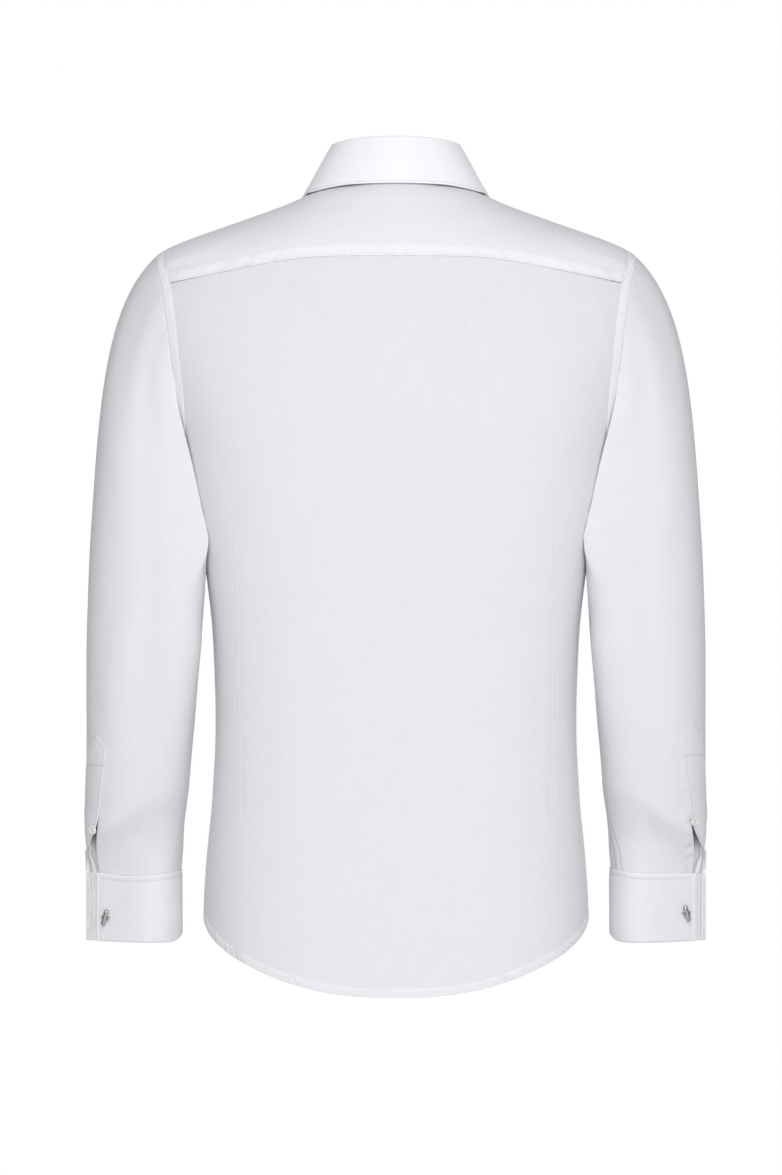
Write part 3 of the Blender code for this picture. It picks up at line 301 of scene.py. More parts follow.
def mirrored_rows(rows):
    """Rows of turn, x, y, z from the centre back to the centre front, carried on past both."""
    back = [(-turn, -x, y, z) for turn, x, y, z in rows[1:3]]
    front = [(360 - turn, -x, y, z) for turn, x, y, z in rows[-3:-1]]
    return back + rows + front


BODY = Table(
    "height half_width front_depth back_depth squareness",
    [
        (30, 55.0, 20, 55.5, 2.0), (16, 59.0, 25, 60.5, 2.0), (12, 61.0, 27, 63.0, 2.0),
        (8, 63.5, 29, 66.0, 2.0), (5, 76.0, 30, 69.0, 2.0), (0, 89.0, 32, 73.0, 2.0),
        (-11.5, 120.0, 36, 78.5, 2.0), (-18.5, 141.0, 38, 82.5, 2.0), (-26.5, 163.0, 41, 86.0, 2.0),
        (-41.5, 205.0, 46, 91.5, 2.05), (-53, 227.0, 50, 95.0, 2.1), (-66, 239.0, 56, 98.0, 2.15),
        (-81, 244.5, 65, 100.5, 2.2), (-95, 246.0, 74, 103.0, 2.3), (-123, 240.0, 91, 107.0, 2.45),
        (-160, 228.0, 107, 110.5, 2.65), (-190, 216.0, 115, 111.0, 2.85), (-232, 202.0, 119, 109.0, 3.1),
        (-285, 191.4, 118, 105.0, 3.2), (-356, 179.5, 115, 99.0, 3.1), (-418, 173.2, 112, 96.0, 2.85),
        (-494, 171.0, 110, 97.0, 2.7), (-570, 174.3, 110, 103.0, 2.7), (-627, 179.6, 111, 110.0, 2.7),
        (-665, 181.9, 112.5, 112.5, 2.7), (-690, 182.3, 113, 114.5, 2.7), (-770, 182.6, 114, 117.0, 2.7),
    ],
    soften=3.5,
)

# Seam lines on the body, as distance from the middle and height
BACK_YOKE_SEAM = [(0, -60), (45, -60.2), (80, -61.4), (105, -64), (130, -68), (165, -74.5), (219.5, -84)]
BACK_ARMHOLE = [(219.5, -84), (213, -127), (208.5, -164), (204.5, -192), (202, -219), (202, -232)]
BACK_SHOULDER = [(227, -53), (225, -63), (219.5, -84)]
FRONT_SHOULDER = [(227, -53), (225.4, -61), (221, -73)]
FRONT_ARMHOLE = [(221, -73), (205, -115), (196, -145), (193, -170), (194.5, -195), (198.5, -217), (202, -232)]
FRONT_YOKE_SEAM = [(61.5, -15), (100, -23), (160, -43), (221, -73)]
BACK_NECK = [(0, 16), (20, 15.6), (38, 14), (53, 11.5), (63.5, 8)]
SIDE_NECK = [(63.5, 8), (63.8, 0), (61.5, -15)]
FRONT_NECK = [(61.5, -15), (55, -28), (44, -42), (29, -56), (LAP_REACH, -64)]
BACK_HEM = [
    (0, -746.3), (39, -745), (74, -740), (106, -731.5), (128, -723), (146, -714.7), (160, -706.4),
    (173.5, -695), (182.6, -681),
]
FRONT_HEM = [
    (LAP_REACH, -738),
    (74, -732.5), (106, -725), (137, -714), (160, -703), (174.5, -692), (182.6, -681),
]

# Upper edge of the collar stand and lower edge of the fall, by the turn from the centre back
STAND_TOP = Table(
    "turn x y z",
    mirrored_rows(
        [
            (0, 0.0, 57.5, 51.8), (30, 31.0, 49.5, 51.0), (60, 55.0, 29.5, 48.4), (90, 63.4, 0.0, 45.4),
            (115, 58.4, -25.0, 30.5), (140, 44.0, -45.5, 8.0), (165, 19.0, -58.5, -21.0),
            (180, 0.0, -61.5, -36.0),
        ]
    ),
    soften=4.0,
)
FALL_EDGE = Table(
    "turn x y z",
    [(-60, -78.5, 34.5, 5.1), (-30, -42.0, 60.0, 9.7)]
    + [
        (0, 0.0, 69.0, 10.2), (30, 42.0, 60.0, 9.7), (60, 78.5, 34.5, 5.1), (90, 92.4, 1.0, 3.4),
        (115, 91.8, -34.0, -12.0), (140, 84.0, -52.0, -42.0), (165, 70.0, -66.5, -74.0),
        (180, 58.0, -75.0, -88.0),
    ],
    soften=4.0,
)

SLEEVE = Table(
    "height inner outer middle_depth half_depth slit_turn",
    [
        (-262, 193.0, 286.0, 2, 57.0, 36), (-300, 186.0, 288.6, 3, 58.5, 38),
        (-342, 181.5, 290.9, 5, 58.5, 42), (-361, 181.4, 291.6, 5.5, 58.0, 44),
        (-380, 182.5, 292.2, 6, 57.5, 46), (-418, 184.6, 293.4, 5, 56.0, 49),
        (-456, 188.0, 293.9, 1, 54.0, 51), (-494, 191.0, 294.2, -5, 52.0, 53),
        (-532, 194.5, 294.8, -12, 49.5, 51), (-570, 197.5, 295.4, -20, 47.0, 45),
        (-608, 200.6, 298.5, -29, 44.5, 42), (-645, 203.2, 303.0, -38, 42.0, 38),
    ],
    soften=5.0,
)
SLEEVE_CLEARANCE = 0.6
SLEEVE_FULLNESS = 0.28  # how much squarer a sleeve is at its back, beside the body
SLEEVE_ROUNDING = 0.85  # how much of that is lost towards the cuff
SLEEVE_ROUND_FROM = -400.0
SLEEVE_ROUND_RUN = 170.0
SLEEVE_PRESS = 11.0  # how far it lies round the body's side where the two touch
SLEEVE_PRESS_END = -372.0
SLEEVE_PRESS_FADE = 40.0
SLEEVE_PRESS_GAP = 0.35
SLEEVE_LEAN = 0.045  # its side leans this much in towards the back
HEAD_END = -262.0
SLIT_SHIFT_RUN = 200.0
SLEEVE_END_TRIM = 1.0
OPENING_START = -552.0
SLIT_HOLD = 42.0  # the gauntlet's button keeps the slit's edges together this much further down
SLIT_HOLD_REACH = 0.15
SLIT_BULGE = 4.0  # the gauntlet's side swells outwards above the cuff
SLIT_BULGE_HEIGHT = -611.0
SLEEVE_HEAD = Table(
    "turn outward lift first_pull last_pull",
    [
        (0, 0.00, 0.00, 0.9, 0.9), (36, 0.05, 0.10, 0.9, 0.9), (72, 0.35, 0.22, 0.9, 1.0),
        (108, 0.80, 0.22, 0.8, 1.1), (144, 2.00, 0.35, 0.75, 1.30), (180, 1.90, 0.40, 0.75, 1.45),
    ],
    soften=6.0,
)
SLEEVE_GIRTH = Table("height girth", [(-500, 318), (-560, 286), (-620, 254)])

# Plan of a cuff at its outermost face, from the back end of the fin round the wrist to its front end
CUFF_PLAN = [
    (285.8, -24), (275, -18.6), (263, -12.6), (250, -6.5), (236, -2.5), (221, -6), (208.5, -20),
    (204.9, -42), (209, -62), (222, -77), (240, -81), (253, -74), (259, -59), (259.5, -41), (261.5, -28.5),
    (268, -26), (282, -32.2), (295.4, -38.5),
]
SLEEVE_FOOT = CUFF_TOP - 4.5  # the sleeve ends between the two layers of the cuff
SLEEVE_END = Table(
    "height inset",
    [
        (SLEEVE_FOOT, 1.9),
        (CUFF_TOP, 1.45),
        (-636.0, 1.0), (-628.0, 0.3), (-616.0, -0.3), (-600.0, 0.0),
    ],
)

# Creases of the body's and a sleeve's form. Turn is from the centre back on the body, and from the
# outer side on a sleeve.
BODY_PER_DEGREE = 1.9
SLEEVE_PER_DEGREE = 1.0
BODY_CREASES = [
    (74, -275, 150, 34, -0.5, -0.10), (104, -270, 130, 36, -1.6, 0.11), (72, -470, 190, 40, -1.2, 0.05),
    (108, -505, 180, 42, -1.3, -0.05), (150, -165, 150, 60, 1.5, 0.05),
]
SLEEVE_CREASES = [
    (155, -395, 70, 30, -2.2, 0.25), (205, -415, 75, 28, -2.2, -0.22), (120, -300, 110, 36, -1.4, 0.10),
    (238, -292, 120, 36, -1.5, -0.12), (250, -560, 90, 26, -1.2, 0.06),
]

# Each side's seam strength sets how much painted shade darkens the sleeve's underarm seam and the rumpled
# cloth beside it.
SIDES = [
    SimpleNamespace(
        word="left", sign=1, slit_shift=0.0, slit_top=-540.0, tip=-508.0, link=-683.0, button=-597.0,
        seam_shift=0.02, seam_ditch=0.05, slit_tucks=0.35, cuff_rises=[2.7, -0.4, -1.6, 1.2],
    ),
    SimpleNamespace(
        word="right", sign=-1, slit_shift=4.0, slit_top=-530.0, tip=-495.5, link=-679.0, button=-590.0,
        seam_shift=0.145, seam_ditch=0.5, slit_tucks=0.9, cuff_rises=[5.0, 1.4, 0.8, 0.3],
    ),
]
for side in SIDES:
    side.flip = np.array([side.sign, 1, 1])


# ---------------------------------------------------------------- forms


def body_point(turn, height):
    """Point of the body form; turn is in radians from the back centre towards +X."""
    half_width, front, back, power = (BODY.read(name, height) for name in BODY.names[1:])
    sine, cosine = np.sin(turn), np.cos(turn)
    depth = np.where(cosine > 0, back, front)
    reach = (np.abs(sine) ** power + np.abs(cosine) ** power) ** (1 / power)
    return stacked(half_width * sine / reach, depth * cosine / reach, height)


def body_normal(turn, height):
    along = body_point(turn + 0.01, height) - body_point(turn - 0.01, height)
    down = body_point(turn, height - 0.8) - body_point(turn, height + 0.8)
    return unit(np.cross(along, down))


def body_side(depth, height):
    """Distance from the middle to the body's side at this depth behind its widest line."""
    power = BODY.read("squareness", height)
    share = np.clip(depth / BODY.read("back_depth", height), 0, 1)
    return BODY.read("half_width", height) * (1 - share**power) ** (1 / power)


def body_turn(across, height, front):
    """Turn, in radians, of the point this far from the middle at this height."""
    power = BODY.read("squareness", height)
    share = np.clip(np.abs(across) / BODY.read("half_width", height), 0, 1)
    rest = (1 - share**power) ** (1 / power)
    return np.arctan2(share, -rest if front else rest)


def seam_turns(points, shares, front):
    """A seam line of the body as (turn, height) pairs at these shares of its length."""

    def turns_of(line):
        return stacked(body_turn(*line.T, front), line[:, 1])

    return turns_of(even_points(points, shares, lambda curve: body_point(*turns_of(curve).T)))


def seam(points, front, reverse=False):
    line = seam_turns(points, np.linspace(0, 1, 401), front)
    return line[::-1] if reverse else line


def mirrored(line):
    return line * np.array([-1, 1])


def both_halves(line):
    return np.concatenate([mirrored(line)[:0:-1], line])


def fill_patch(top, bottom, left, right, across, down):
    """Grid of (turn, height) between four edges read at the shares across and down."""
    down = down[:, None, None]
    across = across[None, :, None]
    ruled = (1 - down) * top[None] + down * bottom[None]
    sides = (1 - across) * left[:, None] + across * right[:, None]
    corners = (1 - down) * ((1 - across) * top[0] + across * top[-1])
    corners = corners + down * ((1 - across) * bottom[0] + across * bottom[-1])
    return ruled + sides - corners


def gathered_columns(patch, counts, gather):
    """Reads a patch again with columns that run along the two darts and crowd there."""
    rows = []
    for row in patch:
        points = body_point(*row.T)
        order = np.arange(len(points))
        off = [points[:, 0] - sign * dart_place(points[:, 2]) for sign in (-1, 1)]
        places = [0.0] + [float(np.interp(0, line, order)) for line in off] + [len(points) - 1.0]
        at = [0.0]
        for first, last, count in zip(places, places[1:], counts):
            at += list(first + (last - first) * graded(count, gather)[1:])
        rows.append(read_at(at, order, row))
    return np.array(rows)


def running(points, axis):
    """Length run along a grid's rows (axis 1) or columns (axis 0)."""
    steps = np.linalg.norm(np.diff(points, axis=axis), axis=-1)
    start = np.zeros_like(np.take(steps, [0], axis=axis))
    return np.cumsum(np.concatenate([start, steps], axis=axis), axis=axis)


def grid_normals(grid, closed_rows=0):
    """Normals of a grid whose rows run down and whose columns run round; the first rows are closed."""
    around = np.gradient(grid, axis=1)
    if closed_rows:
        wrapped = 0.5 * (grid[:closed_rows, 1] - grid[:closed_rows, -2])
        around[:closed_rows, 0] = wrapped
        around[:closed_rows, -1] = wrapped
    down = np.gradient(grid, axis=0)
    return unit(np.cross(down, around))


# ---------------------------------------------------------------- making pieces


def add_object(name, data, material=None):
    if material:
        data.materials.append(material)
    item = bpy.data.objects.new(name, data)
    bpy.context.scene.collection.objects.link(item)
    return item


def smooth_object(name, mesh, material, sharp):
    mesh.shade_smooth()
    mesh.set_sharp_from_angle(angle=math.radians(sharp))
    return add_object(name, mesh, material)


def make_mesh(name, points, polygons, material, uv=None, marks=None, sharp=40.0):
    """Object in metres from points in millimetres; polygons are arrays of equal-sided faces.

    marks are named values on the points: one whitens doubled cloth and paints highlights along edges and
    crests, the other darkens the colour as painted shade in seams, creases and hollows.
    """
    corners = np.concatenate([group.ravel() for group in polygons])
    used, corners = np.unique(corners, return_inverse=True)
    sizes = np.concatenate([np.full(len(group), group.shape[1]) for group in polygons])
    starts = np.concatenate([[0], np.cumsum(sizes)[:-1]])
    mesh = bpy.data.meshes.new(name)
    mesh.vertices.add(len(used))
    mesh.vertices.foreach_set("co", (points[used] * MM).astype(np.float32).ravel())
    mesh.loops.add(len(corners))
    mesh.loops.foreach_set("vertex_index", corners.astype(np.int32))
    mesh.polygons.add(len(sizes))
    mesh.polygons.foreach_set("loop_start", starts.astype(np.int32))
    mesh.update(calc_edges=True)
    if uv is not None:
        layer = mesh.uv_layers.new(name="cloth")
        layer.uv.foreach_set("vector", uv.astype(np.float32).ravel())
    for mark, values in (marks or {}).items():
        attribute = mesh.attributes.new(mark, "FLOAT", "POINT")
        attribute.data.foreach_set("value", values[used].astype(np.float32))
    return smooth_object(name, mesh, material, sharp)


def placed_piece(piece, slot, *nodes):
    """The piece rides on the shirt's one body and stands for these nodes."""
    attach(piece, "root")
    if nodes:
        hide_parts(*nodes)
    return piece


def make_cloth(name, outer, inner, material, slot, *nodes, flip=1, closed_rows=0, **marks):
    """Closed shell between two grids that stands for nodes; the inner face has every other point."""
    outer, inner = outer * flip, inner * flip
    rows, columns = outer.shape[:2]
    fine = np.arange(rows * columns).reshape(rows, columns)
    unwrapped = fine.copy()
    fine[:closed_rows, -1] = fine[:closed_rows, 0]
    inside = inner[::2, ::2]
    coarse = rows * columns + np.arange(inside.shape[0] * inside.shape[1]).reshape(inside.shape[:2])
    loose = coarse.copy()
    closed_inside = (closed_rows + 1) // 2
    coarse[:closed_inside, -1] = coarse[:closed_inside, 0]
    across = running(outer, 1)
    uv = stacked(across - 0.5 * across[:, -1:], -running(outer, 0))

    def spread(values):
        return np.concatenate([part.reshape(-1, *values.shape[2:]) for part in (values, values[::2, ::2])])

    def quads(ids):
        return stacked(ids[:-1, :-1], ids[:-1, 1:], ids[1:, 1:], ids[1:, :-1]).reshape(-1, 4)

    def rim(line, under):
        return stacked(line[2::2], line[1:-1:2], line[:-2:2], under[:-1], under[1:])

    def both(fine_ids, coarse_ids):
        rims = [rim(fine_ids[0], coarse_ids[0]), rim(fine_ids[-1][::-1], coarse_ids[-1][::-1])]
        if closed_rows < rows:
            first_open = max(closed_rows - 1, 0)
            half = first_open // 2
            rims.append(rim(fine_ids[first_open:, 0][::-1], coarse_ids[half:, 0][::-1]))
            rims.append(rim(fine_ids[first_open:, -1], coarse_ids[half:, -1]))
        return [quads(fine_ids), quads(coarse_ids)[:, ::-1], np.concatenate(rims)]

    points = np.concatenate([outer.reshape(-1, 3), inside.reshape(-1, 3)])
    polygons = both(fine, coarse)
    uv_corners = both(unwrapped, loose)
    a, b, _, d = (points[polygons[0][:, corner]] for corner in range(4))
    outwards = (outer - inner)[:-1, :-1].reshape(-1, 3)
    if np.sum(np.cross(b - a, d - a) * outwards) < 0:
        polygons = [group[:, ::-1] for group in polygons]
        uv_corners = [group[:, ::-1] for group in uv_corners]
    flat = spread(uv)
    uv_values = np.concatenate([flat[group.ravel()] for group in uv_corners])
    marks = {mark: spread(values + 0 * outer[..., 0]) for mark, values in marks.items()}
    return placed_piece(make_mesh(name, points, polygons, material, uv_values, marks), slot, *nodes)


def tube(points, radii, sides, closed=False):
    """Points and faces of a tube along a line; radii has one value for each point."""
    points = np.asarray(points, float)
    around = np.roll(points, -1, axis=0) - np.roll(points, 1, axis=0)
    along = unit(around if closed else np.gradient(points, axis=0))
    guide = np.array([0.0, 0, 1]) if abs(along[0, 2]) < 0.9 else np.array([0, 1.0, 0])
    side = unit(np.cross(along, guide))
    other = np.cross(along, side)
    turns = np.linspace(0, 2 * math.pi, sides, endpoint=False)[None, :, None]
    ring = side[:, None] * np.cos(turns) + other[:, None] * np.sin(turns)
    vertices = points[:, None] + ring * np.asarray(radii)[:, None, None]
    ids = np.arange(len(points) * sides).reshape(len(points), sides)
    after = np.roll(ids, -1, axis=1)
    faces = stacked(ids, after, np.roll(after, -1, axis=0), np.roll(ids, -1, axis=0))
    return vertices.reshape(-1, 3), faces[: None if closed else -1].reshape(-1, 4)


def thread_object(name, parts, slot):
    """One object of thread from several (points, faces) parts."""
    starts = np.cumsum([0] + [len(points) for points, _ in parts])
    faces = np.concatenate([faces + start for (_, faces), start in zip(parts, starts)])
    piece = make_mesh(name, np.concatenate([points for points, _ in parts]), [faces], thread, sharp=180.0)
    return placed_piece(piece, slot)


def stitches(name, runs):
    """One object of the stitches along several runs; a run is (points, normals) on the cloth."""
    half = STITCH_LENGTH / 2
    centres, axes = [], []
    for points, normals in runs:
        run = lengths(points)
        count = int(run[-1] / STITCH_PITCH)
        at = (np.arange(count) + 0.5) * run[-1] / max(count, 1)
        along = unit(read_at(at + half, run, points) - read_at(at - half, run, points))
        upright = unit(read_at(at, run, normals))
        centres.append(read_at(at, run, points))
        axes.append(np.stack([along, unit(np.cross(along, upright)), upright], axis=1))
    shape = [(-half, 0, 0)]
    for place in (-0.55 * half, 0.55 * half):
        for side, up in ((1, 0), (0, 1), (-1, 0), (0, -1)):
            shape.append((place, side * STITCH_RADIUS, up * STITCH_RADIUS))
    shape = np.array(shape + [(half, 0, 0)]) + (0, 0, 0.35 * STITCH_RADIUS)
    vertices = np.concatenate(centres)[:, None] + shape @ np.concatenate(axes)
    triangles, squares = [], []
    for step in range(4):
        after = (step + 1) % 4
        triangles += [(0, 1 + after, 1 + step), (9, 5 + step, 5 + after)]
        squares.append((1 + step, 1 + after, 5 + after, 5 + step))
    starts = (np.arange(len(vertices)) * 10)[:, None, None]
    groups = [(np.array(faces) + starts).reshape(-1, len(faces[0])) for faces in (triangles, squares)]
    return placed_piece(make_mesh(name, vertices.reshape(-1, 3), groups, thread, sharp=180.0), "cotton")


def grid_line(points, normals, distance, at, flip=1, turned=False, reverse=False):
    """Line on a grid and its normals, where the distance, which grows down its columns, is at.

    A turned grid is read with its rows as columns, and a reversed one from its last row.
    """
    grids = [points, normals, distance + 0 * points[..., 0]]
    if turned:
        grids = [np.swapaxes(grid, 0, 1) for grid in grids]
    points, normals, distance = (grid[::-1] for grid in grids) if reverse else grids
    rows = np.arange(len(points))
    line, upright = [], []
    for column in range(points.shape[1]):
        place = np.interp(at, distance[:, column], rows)
        low = int(min(place, len(rows) - 2))
        over = place - low
        line.append(points[low, column] * (1 - over) + points[low + 1, column] * over)
        upright.append(normals[low, column])
    return np.array(line) * flip, np.array(upright) * flip


# ---------------------------------------------------------------- materials


def fill(tree, node, inputs):
    """Sets a node's inputs, or links them where the value is a node or one of its outputs."""
    for key, value in inputs.items():
        if isinstance(value, bpy.types.Node):
            value = value.outputs[0]
        if isinstance(value, bpy.types.NodeSocket):
            tree.links.new(value, node.inputs[key])
        else:
            node.inputs[key].default_value = value
    return node


def new_node(tree, kind, inputs=None, **settings):
    node = tree.nodes.new("ShaderNode" + kind)
    for name, value in settings.items():
        setattr(node, name, value)
    return fill(tree, node, inputs or {})


def math_node(tree, operation, *values):
    return new_node(tree, "Math", dict(enumerate(values)), operation=operation)


def line_node(tree, value, factor, offset, middle=None):
    """The value times the factor plus the offset; the value is first taken from its middle."""
    if middle is not None:
        value = math_node(tree, "SUBTRACT", value, middle)
    return math_node(tree, "MULTIPLY_ADD", value, factor, offset)


def scaled(tree, source, scale):
    """Vector source multiplied by a constant scale for each axis."""
    return new_node(tree, "VectorMath", {0: source, 1: scale}, operation="MULTIPLY")


def tinted(tree, color, shade):
    return new_node(tree, "VectorMath", {0: color, "Scale": shade}, operation="SCALE")


def noise(tree, vector, scale, detail=2.0, roughness=0.5, distortion=0.0):
    inputs = {"Vector": vector, "Scale": scale, "Detail": detail, "Roughness": roughness}
    return new_node(tree, "TexNoise", {**inputs, "Distortion": distortion})


def relief_node(tree, height, strength, distance, **normal):
    return new_node(tree, "Bump", {"Height": height, "Strength": strength, "Distance": distance, **normal})


def new_material(name):
    """A material, its node tree, its shader, and the place on the object in metres."""
    material = bpy.data.materials.new(name)
    material.use_nodes = True
    tree = material.node_tree
    return material, tree, tree.nodes["Principled BSDF"], new_node(tree, "TexCoord").outputs["Object"]


def cotton_material(name, double, all_double=True):
    """Poplin weave, slubs and soft cloudiness; one attribute whitens doubled cloth and paints highlights,
    another darkens the colour as painted shade.
    """
    material, tree, shader, place = new_material(name)
    flat = new_node(tree, "UVMap", uv_map="cloth")
    split = new_node(tree, "SeparateXYZ", {0: flat})
    warp, weft = (
        math_node(tree, "SINE", math_node(tree, "MULTIPLY", split.outputs[axis], 2 * math.pi / pitch))
        for axis, pitch in enumerate(WEAVE_PITCHES)
    )
    slub_across = noise(tree, scaled(tree, flat, (0.05, 1.3, 1)), 1.0, 3.0, 0.6)
    slub_down = noise(tree, scaled(tree, flat, (1.1, 0.04, 1)), 1.0, 3.0, 0.6)
    slubs = math_node(tree, "ADD", slub_across, slub_down)
    cloud = noise(tree, place, 90.0 if all_double else 45.0, 3.0, 0.55, 0.4)
    fuzz = noise(tree, flat, 0.9, 3.0, 0.75)
    shade = line_node(tree, slubs, 0.085, 0.915)
    shade = line_node(tree, cloud, 0.03, shade, middle=0.5)
    shade = line_node(tree, fuzz, 0.07, shade, middle=0.5)
    # Painted shade: a mark on the points darkens the colour along seams, creases and hollows.
    ditch = new_node(tree, "Attribute", attribute_name="ditch").outputs["Fac"]
    shade = line_node(tree, ditch, -PAINTED_SHADE_STRENGTH, shade)
    # Whiter doubled cloth, and painted highlights along edges and crests, by a mark on the points.
    layers = 1.0 if all_double else new_node(tree, "Attribute", attribute_name="layers").outputs["Fac"]
    color = new_node(tree, "Mix", {0: layers, 6: (*SINGLE_COLOR, 1), 7: (*double, 1)}, data_type="RGBA")
    height = line_node(tree, math_node(tree, "MULTIPLY", warp, weft), 0.10, slubs)
    height = line_node(tree, fuzz, 0.35, height)
    weave = relief_node(tree, height, 0.35, 0.00012)
    wrinkles = relief_node(tree, noise(tree, place, 28.0, 2.0, 0.5, 0.6), 0.5, 0.0006, Normal=weave)
    looks = {"Base Color": tinted(tree, color.outputs[2], shade), "Normal": wrinkles}
    looks.update({"Roughness": line_node(tree, fuzz, 0.12, 0.76), "Specular IOR Level": 0.25})
    fill(tree, shader, {**looks, "Sheen Weight": 0.08, "Sheen Roughness": 0.5})
    return material


def thread_material():
    material, tree, shader, place = new_material("white_thread")
    shade = line_node(tree, noise(tree, place, 2600.0, 1.0), 0.12, 0.84)
    color = tinted(tree, (0.98, 0.985, 1.0), shade)
    fill(tree, shader, {"Base Color": color, "Roughness": 0.55, "Sheen Weight": 0.15})
    return material


def pearl_material():
    material, tree, shader, place = new_material("white_pearl")
    swirl = noise(tree, place, 160.0, 3.0, 0.5, 1.6)
    ramp = new_node(tree, "ValToRGB", {0: swirl})
    colors = ((0.3, (0.72, 0.72, 0.70, 1)), (0.7, (0.93, 0.92, 0.90, 1)))
    for element, (position, color) in zip(ramp.color_ramp.elements, colors):
        element.position = position
        element.color = color
    rough = line_node(tree, swirl, 0.15, 0.14)
    fill(tree, shader, {"Base Color": ramp, "Roughness": rough, "Coat Weight": 0.6, "Coat Roughness": 0.08})
    return material


def silver_material():
    material, tree, shader, place = new_material("polished_silver")
    wear = noise(tree, place, 420.0, 4.0, 0.6)
    lines = noise(tree, scaled(tree, place, (2600.0, 2600.0, 160.0)), 1.0, 2.0)
    color = tinted(tree, (1.0, 0.985, 0.96), line_node(tree, wear, 0.14, 0.46))
    looks = {"Roughness": line_node(tree, wear, 0.16, 0.08), "Metallic": 1.0}
    fill(tree, shader, {**looks, "Base Color": color, "Normal": relief_node(tree, lines, 0.12, 0.00004)})
    return material


WEAVE_PITCHES = (0.34, 0.42)  # between the threads that run down and across
# Painted shade: the colour is darkened by this share where the shade mark is full.
PAINTED_SHADE_STRENGTH = 0.30  # share of the light lost in the bottom of a seam's ditch
SINGLE_COLOR = (0.790, 0.790, 0.815)
# Colour of doubled cloth, also reached by painted highlights along edges and crests.
DOUBLE_AND_HIGHLIGHT_COLOR = (0.905, 0.910, 0.935)
COLLAR_COLOR = (0.940, 0.945, 0.975)
cotton = cotton_material("cotton_poplin", DOUBLE_AND_HIGHLIGHT_COLOR, all_double=False)
double_cotton = cotton_material("cotton_poplin_double", DOUBLE_AND_HIGHLIGHT_COLOR)
collar_cotton = cotton_material("cotton_collar", COLLAR_COLOR)
thread = thread_material()
pearl = pearl_material()
silver = silver_material()


# ---------------------------------------------------------------- body panels


def lap_lift(across):
    """How far the left front stands off, by its distance towards the wearer's left."""
    return LAP_LIFT * ease((LAP_REACH + LAP_RAMP - across) / LAP_RAMP)


def body_surface(turns, heights):
    """Points and normals of the body with its creases, which are alike on both sides."""
    points = body_point(turns, heights)
    normals = body_normal(turns, heights)
    relief = crease_relief(BODY_CREASES, BODY_PER_DEGREE, np.abs(turns), heights)
    return points + normals * relief[..., None], normals


def side_line(armhole, front, down):
    """Armhole edge and side seam of one panel on the wearer's left, at these shares."""
    side = stacked(math.pi / 2, np.linspace(ARMPIT, SIDE_END, 401))
    parts = [(seam(armhole, front), ARMHOLE_CELLS), (side, SIDE_CELLS)]
    return chain(parts, down * (ARMHOLE_CELLS + SIDE_CELLS))


def panel_grids(patch):
    """Points and normals of a panel, and the lengths run across it and down it."""
    points, normals = body_surface(patch[..., 0], patch[..., 1])
    return points, normals, running(points, 1), running(points, 0)


def make_back():
    across = np.linspace(0, 1, 241)
    down = graded(236, 0.4)
    half = np.abs(2 * across - 1)
    sign = stacked(np.sign(2 * across - 1), 1)
    top, bottom = (seam_turns(line, half, False) * sign for line in (BACK_YOKE_SEAM, BACK_HEM))
    right = side_line(BACK_ARMHOLE, False, down)
    patch = fill_patch(top, bottom, mirrored(right), right, across, down)
    points, normals, run, fall = panel_grids(gathered_columns(patch, (46, 112, 46), 0.55))
    x, _, z = np.moveaxis(points, -1, 0)
    relief = seam_dip(fall) + seam_dip(run) + seam_dip(run[:, -1:] - run)
    relief += pucker(fall, x, 0.22, 7.0, 7.0, 11)
    relief += folds_relief(BACK_FOLDS, x, z) - 0.12 * crease_mark(BACK_CREASE_LINES, np.abs(x), z)
    # Painted shade along the yoke seam, stronger towards the sides, and along the darts and pressed creases.
    ditch = (0.30 + 0.35 * ease((np.abs(x) - 150) / 60)) * bell(fall, 0.9)
    for side in (-1, 1):
        relief += dart_relief(x * side, z, side)
        ditch += 0.14 * dart_reach(z) * bell(x * side - dart_place(z) + 1.6, 0.9)
        ditch += 0.10 * crease_mark(BACK_CREASE_LINES, x * side, z)
    outer = points + normals * relief[..., None]
    return make_cloth("back_panel", outer, outer - normals * CLOTH, cotton, "cotton", "back", ditch=ditch)


DART_TOP = -287.0
DART_END = -600.0
DART_PLACES = (144.7, 150.0)  # distance from the middle at the end and at the top

# Fine pressed lines on each side of the back, from near the yoke's seam to the middle
BACK_CREASE_LINES = [(114, -64.5), (100, -80), (78, -107), (58, -131), (52, -142), (47, -152)]


def crease_mark(line, across, height):
    """1 along a polyline and less beside it and towards its ends."""
    mark = np.zeros_like(across)
    for number, (start, end) in enumerate(zip(line, line[1:])):
        reach = np.subtract(end, start).astype(float)
        from_start = stacked(across - start[0], height - start[1])
        share = np.clip(from_start @ reach / (reach @ reach), 0, 1)
        off = np.linalg.norm(from_start - share[..., None] * reach, axis=-1)
        fade = ease(number + share + 0.3) * ease((len(line) - 1 - number - share + 0.2) / 1.5)
        mark = np.maximum(mark, fade * bell(off, 1.7))
    return mark


def dart_reach(height):
    return ease((DART_TOP - height) / 45) * ease((height - DART_END) / 25)


def dart_place(height):
    return np.interp(height, (DART_END, DART_TOP), DART_PLACES)


def dart_relief(across, height, side):
    """A stitched dart: a fine ridge with a finer ditch on its inner side."""
    off = across - dart_place(height)
    line = 0.30 * bell(off, 0.9) - 0.16 * bell(off + 1.8, 0.9) + 0.12 * bell(off - 4.0, 3.0)
    return dart_reach(height) * (line + pucker(np.abs(off), height, 0.10, 9.0, 5.0, 31 + side))


